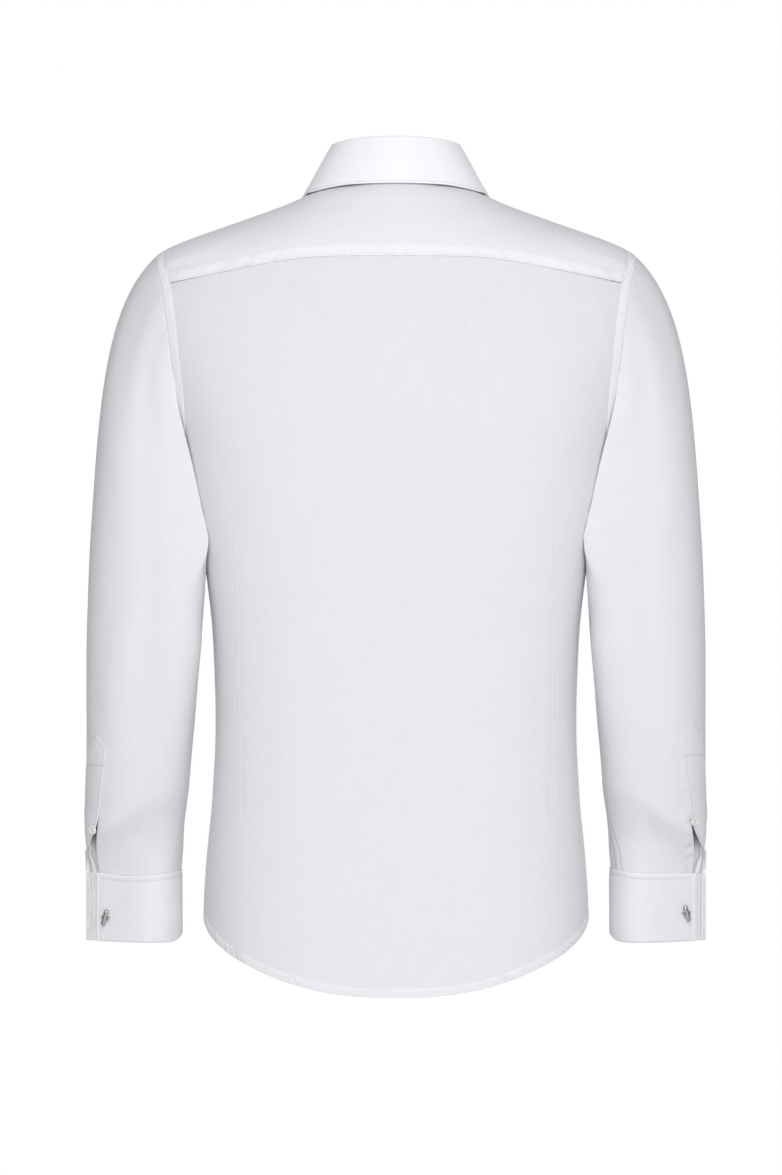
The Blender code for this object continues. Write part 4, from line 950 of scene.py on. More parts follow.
BACK_FOLDS = [
    (-160, -270, 150, 36, -1.1, -30), (160, -268, 150, 36, -1.1, 30), (-118, -320, 130, 40, 0.8, -28),
    (116, -318, 130, 40, 0.7, 27), (-60, -150, 80, 30, -0.35, 36), (58, -152, 80, 30, -0.35, -36),
    (-190, -110, 60, 14, 0.30, 20), (-180, -130, 70, 14, -0.30, 26), (190, -112, 60, 14, 0.30, -20),
    (178, -134, 70, 14, -0.30, -27), (-30, -330, 220, 60, -0.5, 8), (45, -420, 240, 60, -0.4, -6),
    (-100, -520, 200, 44, 0.5, 4), (105, -560, 200, 44, 0.4, -5), (-40, -640, 160, 50, -0.5, 12),
    (70, -660, 140, 44, 0.4, -14),
]


def front_lap(height, count=41):
    """The stretch of a front past the centre line at one height, as (turn, height) pairs."""
    far = float(body_turn(LAP_REACH, height, True))
    return stacked(np.linspace(far, 2 * math.pi - far, count), float(height))


def make_front(side):
    across = np.concatenate([9 / 11 * graded(92, 0.3), np.linspace(9 / 11, 1, 17)[1:]])
    down = graded(220, 0.4)
    top_parts = [(seam(FRONT_YOKE_SEAM, True, True), FRONT_SEAM_CELLS), (seam(FRONT_NECK, True), NECK_CELLS)]
    bottom_parts = [(seam(FRONT_HEM, True, True), FRONT_SEAM_CELLS + NECK_CELLS)]
    top = chain(top_parts + [(front_lap(FRONT_NECK[-1][1]), 2)], across * 11)
    bottom = chain(bottom_parts + [(front_lap(FRONT_HEM[0][1]), 2)], across * 11)
    left = side_line(FRONT_ARMHOLE, True, down)
    edge_heights = top[-1][1] + (bottom[-1][1] - top[-1][1]) * down
    right = stacked(2 * math.pi - body_turn(LAP_REACH, edge_heights, True), edge_heights)
    patch = fill_patch(top, bottom, left, right, across, down)
    points, normals, run, fall = panel_grids(patch)
    if side.sign > 0:
        points = points + normals * lap_lift(points[..., 0])[..., None]
        run, fall = running(points, 1), running(points, 0)
    from_edge = run[:, -1:] - run
    relief = seam_dip(fall) + seam_dip(run)
    relief += folds_relief(FRONT_FOLDS, points[..., 0], points[..., 2] + (6 if side.sign > 0 else -9))
    relief += pucker(from_edge - PLACKET, fall, 0.16, 9.0, 6.0, 57 + side.sign)
    relief -= 0.25 * bell(from_edge - PLACKET, 0.9)
    outer = points + normals * relief[..., None]
    # Painted shade along the top seam and the placket's edge; the placket is whiter as doubled cloth.
    looks = {"ditch": 0.8 * bell(fall, 0.9) + 0.35 * bell(from_edge - PLACKET, 0.9)}
    looks["layers"] = 0.6 * ease((PLACKET - from_edge) / 0.8)
    name = f"front_{side.word}"
    inner = outer - normals * CLOTH
    piece = make_cloth(f"{name}_panel", outer, inner, cotton, "cotton", name, flip=side.flip, **looks)
    return piece, grid_line(outer, normals, from_edge, PLACKET, side.flip, turned=True, reverse=True)


PLACKET = 33.0
FRONT_FOLDS = [
    (150, -225, 130, 34, -1.2, 24), (120, -260, 140, 36, 0.8, 30), (90, -200, 150, 40, -0.7, 18),
    (60, -140, 120, 26, -0.5, -22), (130, -430, 150, 38, -0.8, -12), (100, -520, 170, 40, 0.6, 8),
    (60, -360, 190, 44, -0.5, 6), (80, -640, 150, 44, -0.6, -10), (150, -600, 120, 34, 0.5, 6),
]


def yoke_lines(at):
    """Neck edge and outer edge of one half of the yoke, at places in cells from the centre back."""
    neck = [(seam(BACK_NECK, False), SEAM_CELLS + 2), (seam(SIDE_NECK, True), SHOULDER_CELLS - 2)]
    outline = [
        (seam(BACK_YOKE_SEAM, False), SEAM_CELLS),
        (seam(BACK_SHOULDER, False, True), SHOULDER_CELLS // 2),
        (seam(FRONT_SHOULDER, True), SHOULDER_CELLS // 2),
    ]
    return chain(neck, at), chain(outline, at)


def make_yoke():
    cells = SEAM_CELLS + SHOULDER_CELLS
    at = np.concatenate([np.linspace(0, SEAM_CELLS, 121), np.linspace(SEAM_CELLS, cells, 31)[1:]])
    neck, outline = yoke_lines(at)
    down = graded(76, 0.45)
    front = seam_turns(FRONT_YOKE_SEAM, down, True)
    from_middle = np.concatenate([-at[:0:-1], at])
    across = 0.5 + 0.5 * from_middle / cells
    patch = fill_patch(both_halves(neck), both_halves(outline), mirrored(front), front, across, down)
    points, normals, _, fall = panel_grids(patch)
    from_seam = fall[-1:] - fall
    on_seam = np.abs(from_middle) <= SEAM_CELLS
    x, y, z = np.moveaxis(points, -1, 0)
    ends = 0.25 + 0.75 * ease((np.abs(x) - 50) / 70)
    upper_edge = YOKE_BAND + 0.7 * uneven(x, 15.0, 75) * ends
    band = ease((upper_edge + 0.3 - from_seam) / 0.6) * on_seam
    blotch = uneven(x + 0.7 * np.sign(x) * from_seam, 12.0, 71) * (0.6 + 0.4 * uneven(x, 60.0, 72))
    pillow = np.sin(np.clip(from_seam / YOKE_BAND, 0, 1) * math.pi)
    relief = 0.22 * band + 0.45 * band * blotch * pillow * ends
    relief += on_seam * pucker(from_seam, x, 0.14, 6.0, 3.0, 73) + seam_dip(fall, 0.3, 1.5)
    beside_neck = 0.3 + 0.7 * bell(np.abs(x) - 64, 36)
    relief += NECK_RISE * beside_neck * bell(y - 40, 32) * ease(fall / 14)
    relief += folds_relief(YOKE_FOLDS, x, z) * (y > 0)
    armhole = body_point(*armhole_loop(np.linspace(0, SLEEVE_CELLS, 121)).T)
    to_armhole = np.linalg.norm(stacked(np.abs(x), y, z)[:, :, None] - armhole, axis=-1).min(axis=-1)
    relief *= ease((to_armhole - ARMHOLE_BAND + 3) / 6)
    outer = points + normals * relief[..., None]
    # Painted shade along the stitch row and in the band's hollows; the band is whiter as doubled cloth, with
    # a painted highlight where it swells.
    stitched = bell(from_seam - YOKE_STITCH, 0.7) * (0.5 + 0.5 * uneven(x, 3.0, 77)) * on_seam
    looks = {"ditch": 0.5 * stitched + 0.35 * band * np.clip(-blotch, 0, 1) * ends}
    looks["layers"] = 0.45 + 0.55 * band * (0.85 + 0.15 * blotch)
    piece = make_cloth("yoke_panel", outer, outer - normals * CLOTH, cotton, "cotton_double", "yoke", **looks)
    parts = [grid[:, on_seam] for grid in (outer, normals, from_seam)]
    return piece, grid_line(*parts, YOKE_STITCH, reverse=True)


NECK_RISE = 3.2  # the yoke stands up a little towards the sides of the neck
YOKE_STITCH = 1.6
YOKE_FOLDS = [
    (-205, -62, 60, 7, 0.7, 74), (-200, -70, 50, 6, -0.6, 78), (205, -60, 60, 7, 0.7, -74),
    (200, -68, 50, 6, -0.6, -78), (-120, -30, 90, 18, -0.4, 62), (125, -32, 90, 18, -0.4, -60),
    (-60, 0, 60, 16, 0.4, 66), (62, -2, 60, 16, 0.35, -64), (0, -22, 70, 12, -0.25, 90),
]


# ---------------------------------------------------------------- bands along seams


def band_grid(edge, width, rows, relief):
    """Strip on the body to the left of a line of (turn, height) pairs; rows run away from the line.

    Returns its points on the body, their normals, the cloth's rise and the distance from the line.
    """
    points = body_point(*edge.T)
    normals = body_normal(*edge.T)
    side = unit(np.cross(normals, unit(np.gradient(points, axis=0))))
    nudges = (np.array([0.002, 0]), np.array([0, 0.5]))
    slopes = [(body_point(*(edge + nudge).T) - points) / nudge.sum() for nudge in nudges]
    metric = np.array([[np.sum(a * b, axis=1) for b in slopes] for a in slopes]).transpose(2, 0, 1)
    wanted = stacked(*(np.sum(slope * side, axis=1) for slope in slopes))
    step = np.linalg.solve(metric, wanted[..., None])[..., 0]
    off = graded(rows, 0.3)[:, None] * width
    strip = edge + off[..., None] * step
    surface, upright = body_surface(strip[..., 0], strip[..., 1])
    run = lengths(points)[None]
    raised = relief(off + 0 * run, run + 0 * off)
    return surface, upright, raised, off + 0 * raised


def flat_band(width, seed, depth=0.18, spacing=6.5, lean=0.6):
    """Relief of a stitched band: pillowed, with slanting uneven puckers."""

    def relief(off, run):
        edge = np.minimum(off, width - off)
        pillow = 0.16 * ease(edge / 2.5)
        wave = uneven(run + lean * off, spacing, seed) * (0.55 + 0.45 * uneven(run, 8 * spacing, seed + 5))
        return BAND_RISE + pillow + depth * wave * ease((edge + 0.6) / 2.0)

    return relief


def resampled(line, spacing):
    """A (turn, height) line read again with points about this far apart on the body."""
    run = lengths(body_point(*line.T))
    return read_at(np.linspace(0, run[-1], 2 * int(run[-1] / spacing / 2) + 1), run, line)


def make_band(name, line, width, rows, relief, first_stitch, side, closed=False):
    """Felled band beside a line on the body, with a row of stitches near each edge."""
    surface, upright, raised, off = band_grid(line, width, rows, relief)
    if closed:
        surface[:, -1], upright[:, -1] = surface[:, 0], upright[:, 0]
        raised[:, -4:] += (raised[:, :1] - raised[:, -1:]) * np.linspace(0.25, 1, 4)
    outer = surface + upright * raised[..., None]
    inner = surface - upright * BAND_SINK
    looks = {"flip": side.flip, "closed_rows": rows + 1 if closed else 0}
    piece = make_cloth(f"{name}_{side.word}", outer, inner, double_cotton, "cotton_double", **looks)
    return piece, [grid_line(outer, upright, off, at, side.flip) for at in (first_stitch, width - 1.2)]


def make_armhole_band(side):
    loop = resampled(armhole_loop(np.linspace(0, SLEEVE_CELLS, 1601)), 1.15)
    relief = flat_band(ARMHOLE_BAND, 101, 0.26)
    return make_band("armhole_band", loop, ARMHOLE_BAND, 10, relief, 1.3, side, closed=True)


def make_side_seam(side):
    """Felled seam from the underarm to the hem, centred on the side."""
    line = stacked(math.pi / 2, np.linspace(ARMPIT - 4, SIDE_END + 2, 401))
    relief = flat_band(SIDE_BAND, 141, 0.14, 8.0)
    return make_band("side_seam", resampled(line, 1.3), SIDE_BAND, 8, relief, 1.2, side)


def armhole_loop(at):
    """The left armhole's (turn, height) pairs at places in cells, from the slit by the back and underarm."""
    half = SHOULDER_CELLS // 2
    start = half - SLIT_COLUMN
    back_shoulder = seam(BACK_SHOULDER, False)
    split = int(round(400 * start / half))
    parts = [
        (back_shoulder[split:], SLIT_COLUMN),
        (seam(BACK_ARMHOLE, False), ARMHOLE_CELLS),
        (seam(FRONT_ARMHOLE, True, True), ARMHOLE_CELLS),
        (seam(FRONT_SHOULDER, True, True), half),
        (back_shoulder[: split + 1], start),
    ]
    return chain(parts, at)


def make_hem(name, line, seed, flip=1):
    """Narrow rolled hem, folded over the panel's lower edge; the line runs along that edge."""
    relief = flat_band(HEM_BAND, seed, depth=0.6, spacing=6.2, lean=1.1)
    surface, upright, raised, off = band_grid(resampled(line, 1.1), HEM_BAND, 9, relief)
    curved = 0.3 + 0.7 * ease((np.abs(surface[..., 0]) - 60) / 70)
    raised = BAND_RISE + (raised - BAND_RISE) * curved
    outer = surface + upright * raised[..., None]
    below = 0.25 * unit(outer[0] - outer[1])
    inner_rows = (surface - upright * (CLOTH + 0.8))[:5]
    edge = [inner_rows[0] + below + 0.35 * upright[0], outer[0] + below - 0.35 * upright[0]]
    grid = np.concatenate([inner_rows[::-1], edge, outer])
    cut = len(grid) - (len(grid) + 1) % 2
    grid = grid[-cut:]
    normals = -grid_normals(grid)
    middle = len(grid) // 2
    if np.sum((grid[middle] - surface[4] + upright[4] * 0.4) * normals[middle]) < 0:
        normals = -normals
    plain = np.zeros_like(raised[:7])
    # Painted shade in the hollows of the puckers on the curved sides; the band is whiter as doubled cloth,
    # with a brighter line along its top edge.
    hollows = 0.75 * np.clip((0.36 - raised) / 0.4, 0, 1) * curved
    bright = 0.3 + 0.5 * bell(off - HEM_BAND + 1.0, 1.0)
    looks = {"ditch": np.concatenate([plain, hollows])[-cut:], "flip": flip}
    looks["layers"] = np.concatenate([plain + 0.3, bright])[-cut:]
    piece = make_cloth(name, grid, grid - normals * 0.35, cotton, "cotton_double", **looks)
    return piece, grid_line(outer, upright, off, HEM_BAND - 1.3, flip)


# ---------------------------------------------------------------- collar


def neck_line():
    """Neck edge from the centre back round to the front's edge, as (turn, height) pairs."""
    parts = [
        seam_turns(BACK_NECK, np.linspace(0, 1, 41), False),
        seam_turns(SIDE_NECK, np.linspace(0, 1, 17), True),
        seam_turns(FRONT_NECK, np.linspace(0, 1, 44), True),
        front_lap(FRONT_NECK[-1][1], 12),
    ]
    return np.concatenate(parts[:1] + [part[1:] for part in parts[1:]])


def level(vectors):
    """Unit vectors without their rise."""
    return unit(vectors * np.array([1, 1, 0]))


def stand_half(lapped):
    """Lower and upper edge of one half of the stand's outer face, and its turns in plan."""
    line = neck_line()
    lower = body_point(*line.T)
    turns = np.degrees(np.arctan2(lower[:, 0], lower[:, 1])) % 360
    upper = stacked(*(STAND_TOP.read(axis, turns) for axis in "xyz"))
    if lapped:
        lift = (lap_lift(lower[:, 0]) * (lower[:, 1] < 0))[:, None]
        outward = level(lower)
        lower = lower + body_normal(*line.T) * lift
        upper = upper + outward * lift
    return lower, upper, turns


def whole_round(right, left):
    mirrored_half = right * np.array([-1, 1, 1])
    return np.concatenate([mirrored_half[..., :0:-1, :], left], axis=-2)


def make_stand():
    halves = zip(stand_half(False)[:2], stand_half(True)[:2])
    lower, upper = (whole_round(right, left) for right, left in halves)
    share = np.linspace(0, 1, 21)[:, None, None]
    grid = lower * (1 - share) + upper * share + 4 * share * (1 - share) * STAND_BOW * level(upper + lower)
    grid[0] += SEAM_GAP * unit(upper - lower)
    normals = grid_normals(grid)
    normals[-1] = level(normals[-1])
    inner = grid - normals * COLLAR_WALL
    piece = make_cloth("stand_panel", grid, inner, collar_cotton, "cotton_double", "collar_stand")
    return piece, grid_line(grid, normals, running(grid, 0), 2.0)


def fall_half(lapped):
    """Visible face of one half of the fall: rows from inside the neck over the roll to the edge."""
    _, upper, turns = stand_half(lapped)
    centre_front = int(np.argmin(np.abs(turns - 180)))
    before = upper[centre_front - 1] - upper[centre_front]
    end = upper[centre_front] + unit(before) * FALL_END
    top = np.concatenate([upper[:centre_front], [end]])
    turns = turns[: centre_front + 1]
    edge = stacked(*(FALL_EDGE.read(axis, turns) for axis in "xyz"))
    outward = level(top)
    up = np.array([0, 0, 1.0])
    roll = (FALL_ROLL + FALL_FRONT_ROLL * ease((turns - FALL_FRONT_TURN) / FALL_FRONT_RUN))[:, None]
    start = top - outward * COLLAR_WALL + up * SEAM_GAP
    centre = start + up * FALL_START + outward * roll
    rows = [start, start + up * 0.5 * FALL_START]
    for turn in np.radians(np.linspace(180, 15, 12)):
        rows.append(centre + roll * (math.cos(turn) * outward + math.sin(turn) * up))
    leaf = rows[-1]
    for share in graded(44, 0.4)[1:]:
        rows.append(leaf * (1 - share) + edge * share + 4 * share * (1 - share) * FALL_BOW * outward)
    return np.stack(rows)


def make_fall():
    grid = whole_round(fall_half(False), fall_half(True))
    if grid.shape[0] % 2 == 0:
        grid = np.delete(grid, 1, axis=0)
    normals = -grid_normals(grid)
    normals[0] = level(normals[0])
    fall = running(grid, 0)
    from_edge = fall[-1:] - fall
    run = running(grid, 1)
    near = np.minimum(from_edge, np.minimum(run, run[:, -1:] - run))
    relief = -0.22 * bell(near - COLLAR_STITCH, 0.7)
    relief += pucker(near - COLLAR_STITCH, run + 0.8 * fall, 0.10, 7.0, 3.0, 201)
    relief += 0.25 * uneven(run * 0.8 + fall * 0.5, 46.0, 203) * ease(near / 12)
    outer = grid + normals * relief[..., None]
    outer[-1] += -0.3 * normals[-1]
    # Painted shade along the stitch row.
    ditch = 0.42 * bell(near - COLLAR_STITCH, 0.7) * (0.7 + 0.3 * uneven(run, 3.0, 207))
    looks = (collar_cotton, "cotton_double", "collar_fall")
    piece = make_cloth("collar_fall_panel", outer, grid - normals * COLLAR_WALL, *looks, ditch=ditch)
    runs = [grid_line(outer, normals, from_edge, COLLAR_STITCH, reverse=True)]
    visible = slice(14, int(np.argmin(np.abs(from_edge[:, 0] - COLLAR_STITCH))) + 1)
    for order in (slice(None), slice(None, None, -1)):
        parts = (outer[visible, order], normals[visible, order], running(outer[:, order], 1)[visible])
        runs.append(grid_line(*parts, COLLAR_STITCH, turned=True))
    return piece, runs


COLLAR_STITCH = 2.2


# ---------------------------------------------------------------- sleeves


def cuff_plan(count, end_trim=0.0):
    """Points spread along the cuff's plan at its outermost face, and their (x, y) normals."""
    line = even_points(CUFF_PLAN, np.linspace(0, 1, 401))
    along = np.gradient(line, axis=0)
    normal = unit(stacked(along[:, 1], -along[:, 0]))
    for axis in range(2):
        normal[7:-7, axis] = np.convolve(normal[:, axis], np.ones(15) / 15, "valid")
    length = lengths(line)
    wanted = np.linspace(end_trim, length[-1] - end_trim, count + 1)
    return read_at(wanted, length, line), unit(read_at(wanted, length, normal))


PLAN_COUNT = 400
SLEEVE_PLAN, SLEEVE_PLAN_OUTWARD = cuff_plan(PLAN_COUNT, SLEEVE_END_TRIM)
PLAN_SHARES = np.linspace(0, 1, PLAN_COUNT + 1)


def pressed(height, turn):
    """How much of a sleeve's relief is lost where it lies against the body."""
    return ease((height - SLEEVE_PRESS_END) / SLEEVE_PRESS_FADE) * ease((-np.cos(turn) - 0.5) / 0.3)


def sleeve_point(share, height, shift):
    """Point of the left sleeve below its head; share runs 0..1 round it from the slit's back edge."""
    beside_body = BODY.read("half_width", height) + SLEEVE_CLEARANCE
    inner = np.maximum(SLEEVE.read("inner", height), beside_body)
    outer = SLEEVE.read("outer", height)
    slit = SLEEVE.read("slit_turn", height) + shift * ease((HEAD_END - height) / SLIT_SHIFT_RUN)
    turn = np.radians(slit + 360 * share)
    cosine, sine = np.cos(turn), np.sin(turn)
    relief = crease_relief(SLEEVE_CREASES, SLEEVE_PER_DEGREE, turn % (2 * math.pi), height)
    relief *= 1 - pressed(height, turn)
    inwards = np.clip(-cosine, 0, 1) * np.clip(sine, 0, 1)
    fullness = SLEEVE_FULLNESS * (1 - SLEEVE_ROUNDING * ease((SLEEVE_ROUND_FROM - height) / SLEEVE_ROUND_RUN))
    full = 1 + fullness * (2 * inwards) ** 2
    ring_x = 0.5 * (outer + inner) + (0.5 * (outer - inner) + relief) * cosine * full
    ring_y = SLEEVE.read("middle_depth", height) + (SLEEVE.read("half_depth", height) + relief) * sine * full
    press = ease((height - SLEEVE_PRESS_END) / SLEEVE_PRESS_FADE)
    lap = SLEEVE_PRESS * press * (1 - 0.8 * ease((-300 - height) / 50))
    flat_side = inner - SLEEVE_LEAN * ring_y
    beside = np.clip(body_side(np.maximum(ring_y, 0), height) + SLEEVE_PRESS_GAP, flat_side - lap, flat_side)
    touching = press * ease((-cosine - 0.58) / 0.12) * np.clip(sine * 8, 0, 1)
    ring_x = np.maximum(ring_x, beside) * (1 - touching) + beside * touching
    outward = read_at(share, PLAN_SHARES, SLEEVE_PLAN_OUTWARD)
    plan = read_at(share, PLAN_SHARES, SLEEVE_PLAN) - SLEEVE_END.read("inset", height)[..., None] * outward
    from_slit = np.minimum(np.abs(share), np.abs(1 - share))
    start = OPENING_START - SLIT_HOLD * bell(from_slit, SLIT_HOLD_REACH)
    blend = ease((start - height) / (start - CUFF_TOP))
    bulge = SLIT_BULGE * bell(height - SLIT_BULGE_HEIGHT, 20.0) * bell(share - 0.97, 0.09)
    x = ring_x * (1 - blend) + plan[..., 0] * blend + bulge
    y = ring_y * (1 - blend) + plan[..., 1] * blend
    return stacked(x, y, height)


def sleeve_surface(share, height, side):
    """Points and normals of a sleeve below its head, without the slit's opening."""
    nudge = 0.004
    inside = np.clip(share, nudge, 1 - nudge)
    ahead, behind = (sleeve_point(inside + step, height, side.slit_shift) for step in (nudge, -nudge))
    lower, upper = (sleeve_point(share, height + step, side.slit_shift) for step in (-1.5, 1.5))
    return sleeve_point(share, height, side.slit_shift), unit(np.cross(lower - upper, ahead - behind))


SLEEVE_COLUMNS = 200
SEAM_BEND = -500.0  # below this the underarm seam swings towards the back
SEAM_BEND_RUN = 130.0
HEAD_ROWS = 62


def sleeve_grid(side):
    """Outer face of a sleeve, as on the wearer's left: points, normals and the number of closed rows."""
    share = np.linspace(0, 1, SLEEVE_COLUMNS + 1)

    def ring_at(height):
        return sleeve_point(share, np.full_like(share, height), side.slit_shift)

    loop = armhole_loop(even_cells(share * SLEEVE_CELLS))
    first = body_point(*loop.T)
    body_normals = body_normal(*loop.T)
    ring = ring_at(HEAD_END)
    along = np.roll(first[:-1], -5, axis=0) - np.roll(first[:-1], 5, axis=0)
    along = np.concatenate([along, along[:1]])
    outward = unit(np.cross(unit(along), body_normals))
    from_underarm = np.abs(180 - (36 + 360 * share) % 360)
    head = {name: SLEEVE_HEAD.read(name, from_underarm)[:, None] for name in SLEEVE_HEAD.names[1:]}
    reach = np.linalg.norm(ring - first, axis=1, keepdims=True)
    direction = unit(unit(ring - first) + outward * head["outward"] + body_normals * head["lift"])
    start = direction * reach * head["first_pull"]
    finish = unit(ring_at(HEAD_END - 12) - ring) * reach * head["last_pull"]
    rows = [cubic(first, ring, start, finish, t) for t in graded(HEAD_ROWS, 0.35)[:-1]]
    upper = np.linspace(HEAD_END, side.slit_top, 95)
    lower = np.linspace(side.slit_top, SLEEVE_FOOT, 55)[1:]
    grid = np.stack(rows + [ring_at(height) for height in np.concatenate([upper, lower])])
    closed_rows = HEAD_ROWS + len(upper)
    normals = grid_normals(grid, closed_rows)
    normals[0] = normals[1]
    return grid, normals, closed_rows, share[None, :]


def even_cells(cells):
    """Cells round the armhole with the speed along it evened out between its seams' stretches."""
    fine = np.linspace(-SLEEVE_CELLS, 2 * SLEEVE_CELLS, 6001)
    run = lengths(body_point(*armhole_loop(fine % SLEEVE_CELLS).T))
    reach = 260
    kernel = np.exp(-0.5 * (np.arange(-reach, reach + 1) / (reach / 2.6)) ** 2)
    smooth = np.convolve(run, kernel / kernel.sum(), "valid")
    wanted = np.interp(cells, fine[reach:-reach], smooth)
    return np.interp(wanted, run, fine) % SLEEVE_CELLS


SLEEVE_FOLDS = [
    (60, -330, 120, 26, -0.7, 0.10), (95, -250, 110, 24, 0.7, 0.16), (110, -210, 90, 18, -0.9, 0.22),
    (128, -235, 90, 18, 0.7, 0.25), (70, -420, 90, 26, 0.7, -0.18), (90, -450, 80, 20, -0.8, -0.25),
    (60, -480, 90, 24, 0.5, 0.20), (120, -470, 110, 26, -0.8, 0.12), (140, -365, 60, 14, 0.9, 0.40),
    (175, -400, 70, 14, 0.8, 0.05), (190, -370, 60, 16, -0.9, -0.3), (230, -390, 90, 20, 0.8, -0.3),
    (265, -420, 110, 26, -0.8, -0.15), (300, -330, 130, 30, 0.6, 0.1), (330, -470, 130, 30, -0.6, 0.06),
    (100, -590, 80, 20, -0.6, 0.10), (150, -610, 60, 18, 0.6, -0.2), (215, -600, 70, 18, -0.7, 0.2),
]


def make_sleeve(side):
    grid, normals, closed_rows, share = sleeve_grid(side)
    z = grid[..., 2]
    turn = np.radians((SLEEVE.read("slit_turn", z) + 360 * share) % 360)
    fall = running(grid, 0)
    run = share * 520 + 0 * fall
    relief = crease_relief(SLEEVE_FOLDS, SLEEVE_PER_DEGREE, turn, z) * (1 - pressed(z, turn))
    relief += seam_dip(fall, 0.7, 2.2)
    relief += pucker(fall, run, 0.45, 9.0, 8.0, 301 + side.sign) * ease(fall / 1.5)
    relief += pucker(fall - 1.5, run, 0.5, 4.2, 2.6, 305 + side.sign)
    beside_slit = share * 270 + 0 * z
    tucks = uneven(z + 0.35 * beside_slit, 7.0, 313 + side.sign) * ease((side.slit_top - 15 - z) / 35)
    tucks *= side.slit_tucks * bell(beside_slit - 6, 5.0)
    to_cuff = np.maximum(z - CUFF_TOP, 0)
    gather = pucker(to_cuff - 6, share * 250, 0.5, 13.0, 14.0, 311 + side.sign)
    relief += tucks + gather * ease(to_cuff / 5)
    relief -= 0.25 * bell(z + 516, 1.6) * (1 - ease(np.abs(np.degrees(turn) - 110) / 60))
    under = 9 / SLEEVE_CELLS - side.seam_shift * ease((SEAM_BEND - z) / SEAM_BEND_RUN)
    off = (share - under) * running(grid, 1)[:, -1:]
    relief += 0.35 * np.exp(-((off / 2.6) ** 4)) - 0.35 * bell(np.abs(off) - 4.2, 1.0)
    outer = grid + normals * relief[..., None]
    opened = outer[closed_rows:]
    below_top = outer[closed_rows - 1, 0, 2] - opened[:, 0, 2]
    opening = SEAM_GAP + SLIT_OPENING * ease(below_top / SLIT_OPENING_RUN)
    for first, after, step in ((0, 4, 1), (-1, -5, -1)):
        aside = unit(opened[:, after] - opened[:, first]) * opening[:, None]
        for column, weight in enumerate((1.0, 0.75, 0.5, 0.25)):
            opened[:, first + step * column] += aside * weight
    # Painted shade along the armhole seam and between its puckers, along the underarm seam and in the slit's
    # tucks, and in patches on the rumpled cloth beside the seam.
    ditch = 0.9 * bell(fall, 1.3) * (0.75 + 0.25 * uneven(run, 5.0, 307 + side.sign))
    ditch += 0.3 * np.clip(uneven(run, 4.2, 305 + side.sign), 0, 1) * bell(fall - 2.2, 1.6)
    strength = 0.25 * ease(fall / 30) + side.seam_ditch * ease((SEAM_BEND - 40 - z) / 60)
    ditch += strength * bell(np.abs(off) - 4.2, 0.9) + 0.35 * np.clip(-tucks, 0, 1)
    rumples = np.clip(uneven(z + off, 9.0, 319), 0, 1) * ease((-560 - z) / 40) * ease((off - 5) / 4)
    name = f"sleeve_{side.word}"
    looks = {"flip": side.flip, "closed_rows": closed_rows, "ditch": ditch + side.seam_ditch * rumples}
    piece = make_cloth(f"{name}_panel", outer, outer - normals * CLOTH, cotton, "cotton", name, **looks)
    return piece, grid_line(outer, normals, running(outer, 0), 2.6, side.flip)


BINDING_START = 45.0
BINDING_WIDTH = 10.0
BINDING_DEPTH = 1.6


def make_binding(side):
    """Rumpled strip that binds the slit's edge beneath the gauntlet, seen through the slit."""
    across = np.linspace(0, 1, 25)[None, :]
    heights = np.linspace(side.slit_top - BINDING_START, CUFF_TOP - 1.0, 120)[:, None]
    width = BINDING_WIDTH + 0.6 + 1.2 * uneven(heights, 15.0, 431 + side.sign)
    shares = 1 - (0.4 + width * across) / SLEEVE_GIRTH.read("girth", heights)
    surface, normals = sleeve_surface(shares, heights + 0 * across, side)
    crumple = uneven(heights + 9 * across, 13.0, 437 + side.sign) * (0.4 + 0.6 * across)
    ridge = np.cos(2.5 * math.pi * (across + 0.12 * uneven(heights, 19.0, 441 + side.sign)))
    depth = BINDING_DEPTH + 0.9 * crumple + 0.55 * ridge
    under = surface - normals * (CLOTH + depth)[..., None]
    # Painted shade in the troughs between ridges and in the crumples; a painted highlight on the ridges.
    looks = {"ditch": 1.3 * np.clip(-ridge, 0, 1) ** 2 + 0.5 * np.clip(-crumple, 0, 1)}
    looks["layers"] = 0.9 * np.clip(ridge, 0, 1) ** 2
    name = f"slit_binding_{side.word}"
    return make_cloth(name, under + normals * CLOTH, under, cotton, "cotton", flip=side.flip, **looks)


def gauntlet_shares(height):
    """Where the gauntlet's free edge, slit line and stitched edge lie round the sleeve."""
    girth = SLEEVE_GIRTH.read("girth", height)
    cell = 1 / SLEEVE_CELLS
    narrow = (GAUNTLET_WIDTH - GAUNTLET_OVERHANG) / girth
    edge = narrow + (2 * cell - narrow) * ease((GAUNTLET_WIDENS - height) / GAUNTLET_WIDENS_RUN)
    return 1 + GAUNTLET_OVERHANG / girth, 1 - edge


